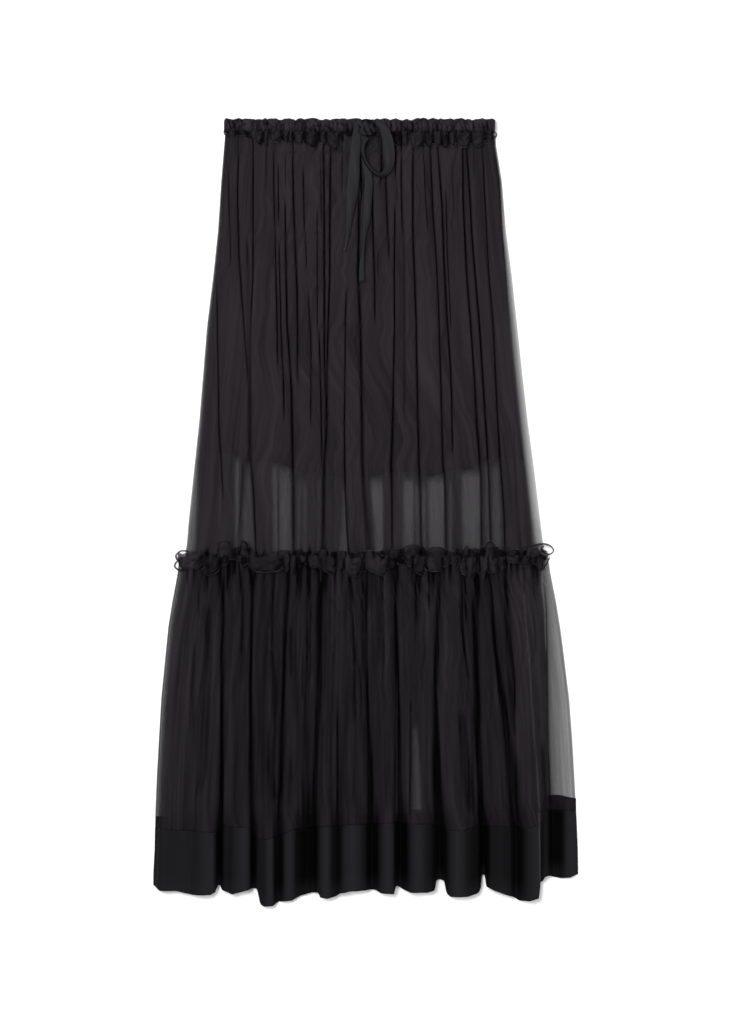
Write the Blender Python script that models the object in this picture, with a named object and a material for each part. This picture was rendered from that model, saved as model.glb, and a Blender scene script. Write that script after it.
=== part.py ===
"""A tiered maxi skirt, laid out flat on its back: metres, +Z up, waist towards +Y.

The origin is under the middle of the skirt, on the surface that it lies on. Everything below is worked
out in millimetres and turned into metres where a mesh is made. The back half lies on the surface, the
two halves of the short lining lie on it, and the front half lies on them in folds, so that the sides of
the tiers meet in one line. A narrow frill is sewn over the waist seam and over the seam of the tiers,
and a ribbon is tied at the middle of the waist.
"""

import math
from collections import namedtuple

import bmesh
import bpy
from mathutils import Vector

MM = 0.001

# Heights down the skirt, as distances from its middle: the whole is 1000 long.
WAIST_TOP = 500.0
CASING_HEM = 481.0
WAIST_FRILL_HEM = 464.0
TIER_SEAM = -57.0
HEM = -480.0
BACK_BAND_SEAM = -362.0
BACK_BAND_HEM = -462.0

# Thicknesses. A folded wall is measured straight up, so it is thinner across its steep sides.
FOLDED_WALL = 2.0
BAND_WALL = 2.3
BACK_WALL = 1.6
LINING_WALL = 1.0
FRILL_WALL = 1.8
FLAT_FRILL_WALL = 1.0
RIBBON_WALL = 1.2
GAP = 0.35
SEAM_GAP = 0.45

# Where the back starts to rise over its flat frills, and where it has risen: above and below the tier
# seam, and under the waist.
ABOVE_SEAM_LOW, ABOVE_SEAM_HIGH = -19.0, -33.0
BELOW_SEAM_LOW, BELOW_SEAM_HIGH = -95.0, -81.0
WAIST_LOW, WAIST_HIGH = 446.0, 460.0

# How far the lining stays inside the skirt's sides, and its hem at the sides and in the middle.
LINING_INSET = 14.0
LINING_HEM_SIDE = 72.0
LINING_HEM_MIDDLE = 37.0

# Each row is one fold of the upper tier: how far across its left valley is at the waist, half way down
# and at the tier seam, and how high it stands. The last row is the right side.
UpperFold = namedtuple("UpperFold", "waist middle seam height")
UPPER_FOLDS = (
    UpperFold(-178, -202, -231, 3),
    UpperFold(-171, -188, -181, 5),
    UpperFold(-166, -151, -144, 4),
    UpperFold(-143, -146, -138, 6),
    UpperFold(-116, -110, -100, 4),
    UpperFold(-103, -96, -88, 5),
    UpperFold(-92, -81, -73, 4),
    UpperFold(-79, -69, -63, 5),
    UpperFold(-55, -58, -57, 4),
    UpperFold(-44, -48, -52, 6),
    UpperFold(-31, -25, -20, 6),
    UpperFold(-10, -6, 8, 6),
    UpperFold(23, 36, 34, 5),
    UpperFold(43, 49, 54, 4),
    UpperFold(60, 64, 76, 6),
    UpperFold(78, 95, 102, 5),
    UpperFold(91, 105, 116, 6),
    UpperFold(120, 134, 147, 5),
    UpperFold(129, 145, 161, 5),
    UpperFold(147, 161, 178, 5),
    UpperFold(157, 185, 193, 4),
    UpperFold(163, 194, 230, 0),
)

# The same for the lower tier and its hem band, which fold as one: across at the tier seam, half way down
# and at the hem, the fold's height at the hem, where its band is sewn on, and where its hem reaches.
LowerFold = namedtuple("LowerFold", "seam middle hem height band reach")
LOWER_FOLDS = (
    LowerFold(-232, -261, -270, 8, -382, -477),
    LowerFold(-206, -226, -212, 12, -386, -483),
    LowerFold(-183, -183, -186, 15, -402, -481),
    LowerFold(-144, -145, -138, 22, -411, -500),
    LowerFold(-105, -102, -110, 19, -404, -489),
    LowerFold(-72, -88, -89, 5, -404, -482),
    LowerFold(-59, -59, -60, 19, -404, -489),
    LowerFold(-41, -35, -32, 15, -402, -481),
    LowerFold(-1, 4, 10, 18, -402, -482),
    LowerFold(40, 41, 40, 16, -400, -480),
    LowerFold(58, 62, 74, 7, -398, -469),
    LowerFold(91, 88, 98, 18, -403, -485),
    LowerFold(140, 142, 148, 12, -402, -480),
    LowerFold(158, 174, 174, 8, -403, -490),
    LowerFold(178, 192, 200, 20, -404, -491),
    LowerFold(200, 210, 221, 5, -374, -466),
    LowerFold(226, 230, 232, 3, -362, -465),
    LowerFold(230, 261, 270, 0, -362, -461),
)

# Where the columns of points stand across one fold: at its valley, and then on its top.
UPPER_STEPS = (0.0, 0.22, 0.5, 0.78)
LOWER_STEPS = (0.0, 0.22, 0.5, 0.78)
HEM_NOTCH = 4.0  # how much higher the hem is in a valley than on the folds beside it
STEEPEST_FOLD = 0.4  # the most that a fold stands up, as a share of its width

PUFFS = 25  # of the gathered casing, across the front

# The ribbon's three stretches: each row is a place on the middle of the ribbon and its width there.
RibbonPlace = namedtuple("RibbonPlace", "across along width")
LEFT_TAIL = (
    RibbonPlace(-9, 480, 10),
    RibbonPlace(-13, 461, 11),
    RibbonPlace(-15, 446, 13),
    RibbonPlace(-16, 428, 14),
    RibbonPlace(-17, 409, 14),
    RibbonPlace(-19, 388, 13),
    RibbonPlace(-21, 368, 9),
    RibbonPlace(-24, 350, 5),
    RibbonPlace(-26, 332, 4),
)
RIGHT_TAIL = (
    RibbonPlace(-3, 484, 9),
    RibbonPlace(-7, 460, 10),
    RibbonPlace(-5, 443, 10),
    RibbonPlace(1, 425, 10),
    RibbonPlace(3, 408, 10),
    RibbonPlace(3, 388, 10),
    RibbonPlace(2, 368, 9),
    RibbonPlace(0, 346, 6),
    RibbonPlace(-3, 325, 5),
    RibbonPlace(-5, 308, 7),
    RibbonPlace(-5, 291, 7),
)
LOOP = (
    RibbonPlace(13, 483, 10),
    RibbonPlace(24, 468, 12),
    RibbonPlace(27, 453, 12),
    RibbonPlace(27, 439, 12),
    RibbonPlace(23, 429, 9),
    RibbonPlace(15, 424, 7),
    RibbonPlace(7, 430, 6),
    RibbonPlace(1, 444, 6),
    RibbonPlace(0, 460, 6),
    RibbonPlace(3, 478, 6),
)
KNOT_PLACE = (2, 486)
KNOT_RADII = (13, 10, 4)


def smooth(share):
    """Runs from 0 to 1 with soft ends."""
    share = min(max(share, 0.0), 1.0)
    return share * share * (3 - 2 * share)


def mix(a, b, share):
    return a + (b - a) * share


def through(start, middle, end, share):
    """A parabola through three places, at 0, one half and 1."""
    first = (2 * share - 1) * (share - 1)
    last = share * (2 * share - 1)
    return start * first + middle * (1 - first - last) + end * last


def upper_share(y):
    return (CASING_HEM - y) / (CASING_HEM - TIER_SEAM)


def lower_share(y):
    return (TIER_SEAM - y) / (TIER_SEAM - HEM)


def valley(y, k):
    """How far across the k-th valley of the tier at this height is."""
    if y > TIER_SEAM:
        row = UPPER_FOLDS[k]
        return through(row.waist, row.middle, row.seam, upper_share(y))
    row = LOWER_FOLDS[k]
    return through(row.seam, row.middle, row.hem, lower_share(y))


def side(y, end):
    """How far across the left side (end 0) or the right side (end -1) is."""
    return valley(y, end)


# ---- heights above the surface ----


def ramp(y, low, high):
    return smooth((y - low) / (high - low))


def frill_rise(y):
    """The back lies a little higher where its frills are folded flat under it."""
    above = ramp(y, ABOVE_SEAM_LOW, ABOVE_SEAM_HIGH)
    below = ramp(y, BELOW_SEAM_LOW, BELOW_SEAM_HIGH)
    return (FLAT_FRILL_WALL + GAP) * max(min(above, below), ramp(y, WAIST_LOW, WAIST_HIGH))


def back_top(y):
    return frill_rise(y) + BACK_WALL


def front_rest(x, y):
    """What the valleys of the front lie on: the lining, or the back outside it and below it."""
    inside = min(x - side(y, 0), side(y, -1) - x)
    on_lining = smooth(inside / (LINING_INSET - 5)) * ramp(y, ABOVE_SEAM_HIGH, ABOVE_SEAM_LOW)
    return back_top(y) + GAP + on_lining * 2 * (LINING_WALL + GAP)


def upper_growth(y):
    """The upper tier's folds are drawn in at the waist and again at the tier seam."""
    down = CASING_HEM - y
    up = y - TIER_SEAM
    return (0.4 + 0.6 * smooth(down / 70)) * (0.4 + 0.6 * smooth(up / 45))


def lower_growth(y):
    return 0.12 + 0.88 * min(lower_share(y), 1.0) ** 0.8


def fold_rise(y, k, step):
    """How far a fold stands up at this step across it."""
    width = valley(y, k + 1) - valley(y, k)
    if y > TIER_SEAM:
        height = UPPER_FOLDS[k].height * upper_growth(y)
    else:
        height = LOWER_FOLDS[k].height * lower_growth(y)
    return min(height, STEEPEST_FOLD * width) * math.sin(math.pi * step) ** 0.7


def highest_front(y):
    """The top of the highest crest of the front at this height."""
    folds, growth = (UPPER_FOLDS, upper_growth(y)) if y > TIER_SEAM else (LOWER_FOLDS, lower_growth(y))
    return front_rest(0, y) + FOLDED_WALL + growth * max(fold.height for fold in folds)


# ---- meshes ----


def finish(name, colour, roughness):
    material = bpy.data.materials.new(name)
    material.use_nodes = True
    shader = material.node_tree.nodes["Principled BSDF"]
    shader.inputs["Base Color"].default_value = (*colour, 1.0)
    shader.inputs["Roughness"].default_value = roughness
    shader.inputs["Metallic"].default_value = 0.0
    material.diffuse_color = (*colour, 1.0)
    return material


def add_object(name, mesh_source, material):
    """Turns a bmesh in millimetres into an object in metres, with its faces pointing out."""
    bmesh.ops.recalc_face_normals(mesh_source, faces=mesh_source.faces)
    bmesh.ops.scale(mesh_source, vec=(MM, MM, MM), verts=mesh_source.verts)
    mesh = bpy.data.meshes.new(name)
    mesh_source.to_mesh(mesh)
    mesh_source.free()
    mesh.materials.append(material)
    piece = bpy.data.objects.new(name, mesh)
    bpy.context.scene.collection.objects.link(piece)
    return piece


def cloth(name, columns, rows, place, wall, material):
    """A wall of cloth: a grid of columns by rows, each point moved to place(column, row), and then
    thickened straight up by the wall."""
    panel = bmesh.new()
    bmesh.ops.create_grid(panel, x_segments=columns - 1, y_segments=rows - 1, size=0.5)
    for vertex in panel.verts:
        column = round((vertex.co.x + 0.5) * (columns - 1))
        row = round((0.5 - vertex.co.y) * (rows - 1))
        vertex.co = Vector(place(column, row))
    bmesh.ops.triangulate(panel, faces=panel.faces)
    top = bmesh.ops.extrude_face_region(panel, geom=panel.faces[:], use_keep_orig=True)
    lifted = [element for element in top["geom"] if isinstance(element, bmesh.types.BMVert)]
    bmesh.ops.translate(panel, vec=(0, 0, wall), verts=lifted)
    return add_object(name, panel, material)


def column_place(column, steps):
    """The fold that a column of the front belongs to, and how far across that fold it is."""
    fold, step = divmod(column, len(steps))
    return fold, steps[step]


def front_point(y, column, steps):
    """A point of the front's underside at this height."""
    fold, step = column_place(column, steps)
    x, rise = valley(y, fold), 0.0
    if step > 0:
        x = mix(x, valley(y, fold + 1), step)
        rise = fold_rise(y, fold, step)
    return x, y, front_rest(x, y) + rise


def columns_of(folds, steps):
    return (len(folds) - 1) * len(steps) + 1


# ---- upper tier ----


def flat_back(name, levels, wall, material):
    """A back panel: flat on the surface, and raised only over its frills."""
    across = 17

    def place(column, row):
        y = levels[row]
        return mix(side(y, 0), side(y, -1), column / (across - 1)), y, frill_rise(y)

    cloth(name, across, len(levels), place, wall, material)


def upper_tier(chiffon):
    top, bottom = CASING_HEM - SEAM_GAP, TIER_SEAM + SEAM_GAP
    levels = (top, WAIST_HIGH, WAIST_LOW, 380, 230, 80, ABOVE_SEAM_LOW, ABOVE_SEAM_HIGH, bottom)
    cloth(
        "upper_tier_front",
        columns_of(UPPER_FOLDS, UPPER_STEPS),
        len(levels),
        lambda column, row: front_point(levels[row], column, UPPER_STEPS),
        FOLDED_WALL,
        chiffon,
    )
    back_levels = (top, WAIST_HIGH, WAIST_LOW, ABOVE_SEAM_LOW, ABOVE_SEAM_HIGH, bottom)
    flat_back("upper_tier_back", back_levels, BACK_WALL, chiffon)


# ---- lining: a short straight slip that hangs from the casing ----


def lining_hem(x):
    out = min(abs(x + 30) / 180, 1.0)
    return mix(LINING_HEM_MIDDLE, LINING_HEM_SIDE, out * out)


def lining(slip):
    across = 13
    levels = (CASING_HEM - SEAM_GAP, WAIST_HIGH, WAIST_LOW, 260)

    def half(name, layer):
        def place(column, row):
            share = column / (across - 1)
            at_hem = mix(side(LINING_HEM_SIDE, 0), side(LINING_HEM_SIDE, -1), share)
            y = levels[row] if row < len(levels) else lining_hem(at_hem)
            x = mix(side(y, 0) + LINING_INSET, side(y, -1) - LINING_INSET, share)
            return x, y, back_top(y) + GAP + layer * (LINING_WALL + GAP)

        cloth(name, across, len(levels) + 1, place, LINING_WALL, slip)

    half("lining_back", 0)
    half("lining_front", 1)


# ---- lower tier and hem band ----


def along_folds(column, name, lift=0.0):
    """A value of the lower folds at this column: the fold's own on its crest, the mean of two raised by
    lift in a valley, and half way between on its shoulders."""
    fold, step = column_place(column, LOWER_STEPS)

    def own(k):
        return getattr(LOWER_FOLDS[min(max(k, 0), len(LOWER_FOLDS) - 1)], name)

    nearest = fold if step <= 0.5 else fold + 1
    in_valley = (own(nearest - 1) + own(nearest)) / 2 + lift
    if step == 0:
        return in_valley
    return own(fold) if step == 0.5 else (in_valley + own(fold)) / 2


def lower_tier(chiffon):
    top = TIER_SEAM - SEAM_GAP
    levels = (top, BELOW_SEAM_HIGH, BELOW_SEAM_LOW, -200)

    def place(column, row):
        y = levels[row] if row < len(levels) else along_folds(column, "band") + SEAM_GAP
        return front_point(y, column, LOWER_STEPS)

    columns = columns_of(LOWER_FOLDS, LOWER_STEPS)
    cloth("lower_tier_front", columns, len(levels) + 1, place, FOLDED_WALL, chiffon)
    back_levels = (top, BELOW_SEAM_HIGH, BELOW_SEAM_LOW, -200, BACK_BAND_SEAM + SEAM_GAP)
    flat_back("lower_tier_back", back_levels, BACK_WALL, chiffon)


def hem_band(satin):
    levels = (0.0, 0.5, 1.0)

    def place(column, row):
        top = along_folds(column, "band") - SEAM_GAP
        y = mix(top, along_folds(column, "reach", HEM_NOTCH), levels[row])
        return front_point(y, column, LOWER_STEPS)

    columns = columns_of(LOWER_FOLDS, LOWER_STEPS)
    cloth("hem_band_front", columns, len(levels), place, BAND_WALL, satin)
    flat_back("hem_band_back", (BACK_BAND_SEAM - SEAM_GAP, BACK_BAND_HEM), BACK_WALL, satin)


# ---- waist: a casing drawn up on elastic, in two halves that meet at the sides ----


def roll_of_cloth(name, section, steps, pinch, material):
    """A roll of gathered cloth across the waist: rings of (along, height) points, with every second ring
    pinched in."""
    middle = (CASING_HEM + WAIST_TOP) / 2
    low = min(height for _, height in section)
    roll = bmesh.new()
    rings = []
    for step in range(steps + 1):
        share = step / steps
        pinched = pinch * (step % 2)
        end = 1 - smooth(min(share, 1 - share) * steps / 3)
        x = mix(side(CASING_HEM, 0) - 1, side(CASING_HEM, -1) + 1, share)
        thinner = (1 - pinched) * (1 - 0.45 * end)
        narrower = 1 - pinched / 2 - 0.12 * end
        points = [(x, middle + (y - middle) * narrower, low + (z - low) * thinner) for y, z in section]
        rings.append([roll.verts.new(point) for point in points])
    for first, second in zip(rings, rings[1:]):
        for k in range(len(section)):
            roll.faces.new((first[k - 1], first[k], second[k], second[k - 1]))
    roll.faces.new(rings[0])
    roll.faces.new(rings[-1])
    bmesh.ops.triangulate(roll, faces=roll.faces)
    add_object(name, roll, material)


def casing(chiffon):
    """The front half lies on the back half, which is flat where it rests."""
    low, high, split = CASING_HEM, WAIST_TOP, 4.5
    front = ((low, split), (low, 8.5), (485, 11), (491, 12), (497, 10.5), (high, 7.5), (high, split))
    under = split - GAP
    back = ((low, 1.5), (483, 0), (498, 0), (high, 1.5), (high, under), (low, under))
    roll_of_cloth("waist_casing_front", front, 2 * PUFFS, 0.12, chiffon)
    roll_of_cloth("waist_casing_back", back, PUFFS, 0.0, chiffon)


# ---- frills ----


def wave(share, turns, offset=0.0):
    """An uneven wave: one turn is never quite like the next."""
    return math.sin(2 * math.pi * turns * share + 1.3 * math.sin(2 * math.pi * (2.3 * share + offset)))


def flat_frill(name, top, bottom, chiffon):
    across = 13

    def place(column, row):
        y = (top, bottom)[row]
        return mix(side(y, 0), side(y, -1), column / (across - 1)), y, 0.0

    cloth(name, across, 2, place, FLAT_FRILL_WALL, chiffon)


def waist_frill(chiffon):
    """It is pressed flat behind the knot, and stands up in waves on either side of it."""
    across = 69

    def place(column, row):
        share = column / (across - 1)
        x = mix(side(CASING_HEM, 0) - 3, side(CASING_HEM, -1) + 3, share)
        free = ramp(abs(x - KNOT_PLACE[0]), 34, 46)
        lift = wave(share, 17)
        reach = WAIST_FRILL_HEM + 3 * wave(share, 11, 0.4)
        y = (CASING_HEM + 2 * free, 474, reach)[row]
        rise = (0.6, 0.5 + 0.5 * lift, 1.5 + 1.5 * lift)[row]
        return x, y, highest_front(y) + 2 * GAP + rise * free

    cloth("waist_frill_front", across, 3, place, FRILL_WALL, chiffon)
    flat_frill("waist_frill_back", CASING_HEM - SEAM_GAP, WAIST_FRILL_HEM, chiffon)


def tier_frill(chiffon):
    """A strip sewn down along its middle, with both its edges free."""
    across = 77

    def place(column, row):
        share = column / (across - 1)
        x = mix(side(TIER_SEAM, 0) - 8, side(TIER_SEAM, -1) + 5, share)
        lift = wave(share, 17)
        up = TIER_SEAM + 15 + 3 * wave(share, 13, 0.3)
        down = TIER_SEAM - 19 + 4 * wave(share, 11, 0.7)
        y = (up, TIER_SEAM, down)[row]
        rise = (3.6 - 1.6 * lift, 0.4, 3.8 + 1.8 * lift)[row]
        return x, y, highest_front(TIER_SEAM) + rise

    cloth("tier_frill_front", across, 3, place, FRILL_WALL, chiffon)
    flat_frill("tier_frill_back", TIER_SEAM + 17, TIER_SEAM - 17, chiffon)


# ---- drawstring: a flat ribbon tied in half a bow ----


def ribbon(name, places, bed, lift, tie):
    """A stretch of ribbon through its places, flat side up: bed(y) is the height that it lies at, and
    lift(share of its length) how much higher it is where it lies on another stretch."""

    def place(column, row):
        here = places[row]
        before = places[max(row - 1, 0)]
        after = places[min(row + 1, len(places) - 1)]
        run = Vector((after.across - before.across, after.along - before.along)).normalized()
        aside = (column - 0.5) * here.width
        height = bed(here.along) + lift(row / (len(places) - 1))
        return here.across - run.y * aside, here.along + run.x * aside, height

    cloth(name, 2, len(places), place, RIBBON_WALL, tie)


def drawstring(tie):
    on_folds = front_rest(0, 400) + FOLDED_WALL + max(fold.height for fold in UPPER_FOLDS) + GAP
    on_frill = highest_front(WAIST_FRILL_HEM) + FRILL_WALL + 3 * GAP + 0.15
    over = RIBBON_WALL + 0.6

    def bed(y):
        return mix(on_folds, on_frill, ramp(y, 440, 459))

    ribbon("drawstring_tail_right", RIGHT_TAIL, bed, lambda share: 0.0, tie)
    ribbon("drawstring_tail_left", LEFT_TAIL, bed, lambda share: over * ramp(share, 0.5, 0.3), tie)
    ribbon("drawstring_loop", LOOP, bed, lambda share: over * ramp(share, 0.2, 0.5), tie)
    knot = bmesh.new()
    bmesh.ops.create_icosphere(knot, subdivisions=2, radius=1.0)
    bmesh.ops.scale(knot, vec=KNOT_RADII, verts=knot.verts)
    on_ribbon = on_frill + RIBBON_WALL + GAP + 0.1
    bmesh.ops.translate(knot, vec=(*KNOT_PLACE, on_ribbon + KNOT_RADII[2]), verts=knot.verts)
    add_object("drawstring_knot", knot, tie)


def build():
    for leftover in list(bpy.data.objects):
        bpy.data.objects.remove(leftover)
    chiffon = finish("black_chiffon", (0.020, 0.018, 0.021), 0.85)
    satin = finish("black_satin", (0.014, 0.014, 0.015), 0.38)
    slip = finish("black_lining", (0.010, 0.010, 0.011), 0.75)
    tie = finish("black_ribbon", (0.030, 0.029, 0.032), 0.8)
    upper_tier(chiffon)
    lining(slip)
    lower_tier(chiffon)
    hem_band(satin)
    casing(chiffon)
    waist_frill(chiffon)
    tier_frill(chiffon)
    drawstring(tie)


build()
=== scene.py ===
"""Looks of a tiered maxi skirt laid out flat: sheer crepe chiffon in two gathered tiers over a short
opaque slip, with raw-edged frills over both seams, a satin hem band and a ribbon drawstring.

Metres, +Z up, waist towards +Y, as in the frame. Tables of folds are in millimetres.
"""

import math
from collections import namedtuple

import bmesh
import bpy
import numpy as np
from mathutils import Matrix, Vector, noise


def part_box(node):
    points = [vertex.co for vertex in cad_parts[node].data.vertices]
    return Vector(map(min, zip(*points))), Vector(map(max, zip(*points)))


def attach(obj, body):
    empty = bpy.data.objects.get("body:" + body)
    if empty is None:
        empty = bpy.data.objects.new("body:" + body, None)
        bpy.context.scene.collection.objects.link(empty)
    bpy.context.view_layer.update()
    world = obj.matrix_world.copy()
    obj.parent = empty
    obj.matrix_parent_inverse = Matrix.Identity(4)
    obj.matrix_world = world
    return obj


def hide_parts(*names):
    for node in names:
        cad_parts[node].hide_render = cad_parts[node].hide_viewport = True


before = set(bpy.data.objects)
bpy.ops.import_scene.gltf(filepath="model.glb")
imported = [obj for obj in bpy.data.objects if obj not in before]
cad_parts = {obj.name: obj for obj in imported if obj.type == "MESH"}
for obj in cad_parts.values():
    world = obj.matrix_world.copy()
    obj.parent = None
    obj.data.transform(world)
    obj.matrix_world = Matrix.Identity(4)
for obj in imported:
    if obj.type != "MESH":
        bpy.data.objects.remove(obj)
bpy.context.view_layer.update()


# ---- camera, light and floor ----
# The skirt lies on a pale floor and is looked at from straight above. One broad soft light hangs a little
# to its upper left, a weaker one stands at its right, and a dim pale sky fills the shadows.

MM = 0.001
CAMERA_HEIGHT = 3.0
VIEW_LENGTH = 1.2995  # of the floor, from the top of the view to its bottom
CAMERA_ACROSS = 0.0006
SENSOR = 36.0
FLOOR_SIZE = 6.0
FLOOR_DROP = 0.0004  # keeps the floor just clear of the cloth that lies on it

camera_data = bpy.data.cameras.new("overhead_camera")
camera_data.sensor_width = SENSOR
camera_data.lens = SENSOR * CAMERA_HEIGHT / VIEW_LENGTH
camera = bpy.data.objects.new("overhead_camera", camera_data)
camera.location = (CAMERA_ACROSS, 0.0, CAMERA_HEIGHT)
bpy.context.scene.collection.objects.link(camera)
bpy.context.scene.camera = camera
bpy.context.scene.view_settings.view_transform = "Standard"
bpy.context.scene.cycles.transparent_max_bounces = 32


def soft_light(name, place, size, power):
    """A square studio light, turned towards the middle of the skirt."""
    data = bpy.data.lights.new(name, "AREA")
    data.shape = "SQUARE"
    data.size = size
    data.energy = power
    light = bpy.data.objects.new(name, data)
    light.location = place
    light.rotation_euler = (-Vector(place)).to_track_quat("-Z", "Y").to_euler()
    bpy.context.scene.collection.objects.link(light)


soft_light("key_light", (-0.9, 0.7, 2.6), size=1.3, power=92)
soft_light("fill_light", (2.0, -0.4, 2.0), size=1.2, power=30)

sky = bpy.data.worlds.new("pale_sky")
sky.use_nodes = True
sky_light = sky.node_tree.nodes["Background"]
sky_light.inputs["Color"].default_value = (1.0, 1.0, 1.0, 1.0)
sky_light.inputs["Strength"].default_value = 0.4
bpy.context.scene.world = sky

floor_mesh = bmesh.new()
bmesh.ops.create_grid(floor_mesh, x_segments=1, y_segments=1, size=FLOOR_SIZE)
bmesh.ops.translate(floor_mesh, vec=(0, 0, -FLOOR_DROP), verts=floor_mesh.verts)
floor_data = bpy.data.meshes.new("floor")
floor_mesh.to_mesh(floor_data)
floor_mesh.free()
floor = bpy.data.objects.new("floor", floor_data)
bpy.context.scene.collection.objects.link(floor)
floor_paint = bpy.data.materials.new("pale_floor")
floor_paint.use_nodes = True
floor_shader = floor_paint.node_tree.nodes["Principled BSDF"]
floor_shader.inputs["Base Color"].default_value = (0.9, 0.9, 0.9, 1)
floor_shader.inputs["Roughness"].default_value = 0.9
floor_shader.inputs["Specular IOR Level"].default_value = 0.0
floor_data.materials.append(floor_paint)


# ---- upper tier, front and back ----
# Each half is a panel of sheer black crepe chiffon, about twice as wide as the skirt, gathered into the
# casing above and caught into the tier seam below. Laid flat, it falls into long pressed-down folds.


class Fibre:
    """A value in a material's nodes. Sums on it add Math nodes, and node() adds any other node."""

    def __init__(self, tree, socket=None):
        self.tree = tree
        self.socket = socket

    def put(self, target, value):
        if isinstance(value, Fibre):
            self.tree.links.new(value.socket, target)
        else:
            target.default_value = value

    def node(self, kind, settings=(), output=0, **values):
        made = self.tree.nodes.new(kind)
        for name, setting in dict(settings).items():
            setattr(made, name, setting)
        for name, value in values.items():
            place = int(name[1:]) if name[1:].isdigit() else name.replace("_", " ")
            self.put(made.inputs[place], value)
        return Fibre(self.tree, made.outputs[output])

    def sum(self, operation, first, second):
        return self.node("ShaderNodeMath", {"operation": operation}, i0=first, i1=second)

    def __add__(self, other):
        return self.sum("ADD", self, other)

    __radd__ = __add__

    def __sub__(self, other):
        return self.sum("SUBTRACT", self, other)

    def __rsub__(self, other):
        return self.sum("SUBTRACT", other, self)

    def __mul__(self, other):
        return self.sum("MULTIPLY", self, other)

    __rmul__ = __mul__

    def __rpow__(self, other):
        return self.sum("POWER", other, self)


def new_finish(name, colour, roughness, shine):
    """A material with the values that are the same all over it, and its tree to add the rest to."""
    material = bpy.data.materials.new(name)
    material.use_nodes = True
    material.diffuse_color = (*colour, 1.0)
    shader = material.node_tree.nodes["Principled BSDF"]
    shader.inputs["Base Color"].default_value = (*colour, 1.0)
    shader.inputs["Roughness"].default_value = roughness
    shader.inputs["Specular IOR Level"].default_value = shine
    return material, shader, Fibre(material.node_tree)


def grain(yarn, across, along):
    """Noise on the cloth's own map, so many to the metre across it and along it."""
    weave = yarn.node("ShaderNodeUVMap", {"uv_map": "cloth"})
    scaled = yarn.node("ShaderNodeMapping", Vector=weave, Scale=(across, along, 1.0))
    return yarn.node("ShaderNodeTexNoise", Vector=scaled, Scale=1.0, Detail=2.0, Roughness=0.6)


def mixed(yarn, share, first, second):
    """A colour between two, by a share that varies over the cloth."""
    return yarn.node("ShaderNodeMix", {"data_type": "RGBA"}, output=2, Factor=share, i6=first, i7=second)


def shaded(yarn, dark, pale, share):
    """A colour between a dark and a pale one, both given without alpha."""
    return mixed(yarn, share, (*dark, 1), (*pale, 1))


BLACK = (0, 0, 0, 1)
GLEAM = (0.045, 0.044, 0.046, 1)  # along an edge that catches the light
DEEPEST_SHADE = 0.95


def in_creases(yarn, colour):
    """The colour, with painted shade where the shade attribute is above 0, in creases, and a painted gleam
    where it is below.
    """
    shade = yarn.node("ShaderNodeAttribute", {"attribute_name": "shade"}, output=2)
    dim = mixed(yarn, shade * DEEPEST_SHADE, colour, BLACK)
    return mixed(yarn, shade * -1, dim, GLEAM)


def raised(yarn, height, strength, depth):
    """The small relief of the cloth, as deep in metres as depth says."""
    return yarn.node("ShaderNodeBump", Height=height, Strength=strength, Distance=depth)


CHIFFON_DARK = (0.0085, 0.0071, 0.0085)
CHIFFON_PALE = (0.0285, 0.0242, 0.0285)
CHIFFON_LETS_THROUGH = 0.85  # of the light, through one of the two faces of a single thickness


def chiffon_finish(name):
    """Crepe chiffon: pebbled, streaked along its threads, and as opaque as its cover attribute says."""
    material, shader, yarn = new_finish(name, CHIFFON_PALE, roughness=0.7, shine=0.02)
    pebble = grain(yarn, 900, 700)
    streak = grain(yarn, 330, 7)
    folds = grain(yarn, 75, 3)
    tone = 0.5 + (pebble - 0.5) * 0.4 + (streak - 0.5) * 0.8 + (folds - 0.5) * 1.3
    colour = shaded(yarn, CHIFFON_DARK, CHIFFON_PALE, tone)
    yarn.put(shader.inputs["Base Color"], in_creases(yarn, colour))
    cover = yarn.node("ShaderNodeAttribute", {"attribute_name": "cover"}, output=2)
    density = cover * (0.45 + 0.5 * pebble + 0.6 * streak)
    yarn.put(shader.inputs["Alpha"], 1 - CHIFFON_LETS_THROUGH**density)
    yarn.put(shader.inputs["Normal"], raised(yarn, 0.5 * pebble + streak, 0.4, 0.0006))
    return material


def smooth(share):
    """A share from 0 to 1 that starts and ends gently."""
    share = np.clip(share, 0.0, 1.0)
    return share * share * (3 - 2 * share)


def wander(place, seed):
    """A slow uneven drift between -1 and 1."""
    return 2 * noise.noise(Vector((place, seed * 7.31, 0.37)))


def drifts(places, pitch, seed):
    """That drift at each of the places, slower for a longer pitch."""
    return np.array([wander(x / pitch, seed) for x in places])


def along_table(places, table):
    """What a table says at each place: its rows are a place and a value, and it is even between them."""
    return np.interp(places, *zip(*table))


def crinkle(across, along, size, seed):
    """1 on thin wandering lines about so far apart, and 0 between them."""
    place = Vector((across / size, along / size, seed * 3.7))
    return max(0.0, 1 - abs(noise.noise(place)) / 0.11)


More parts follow.
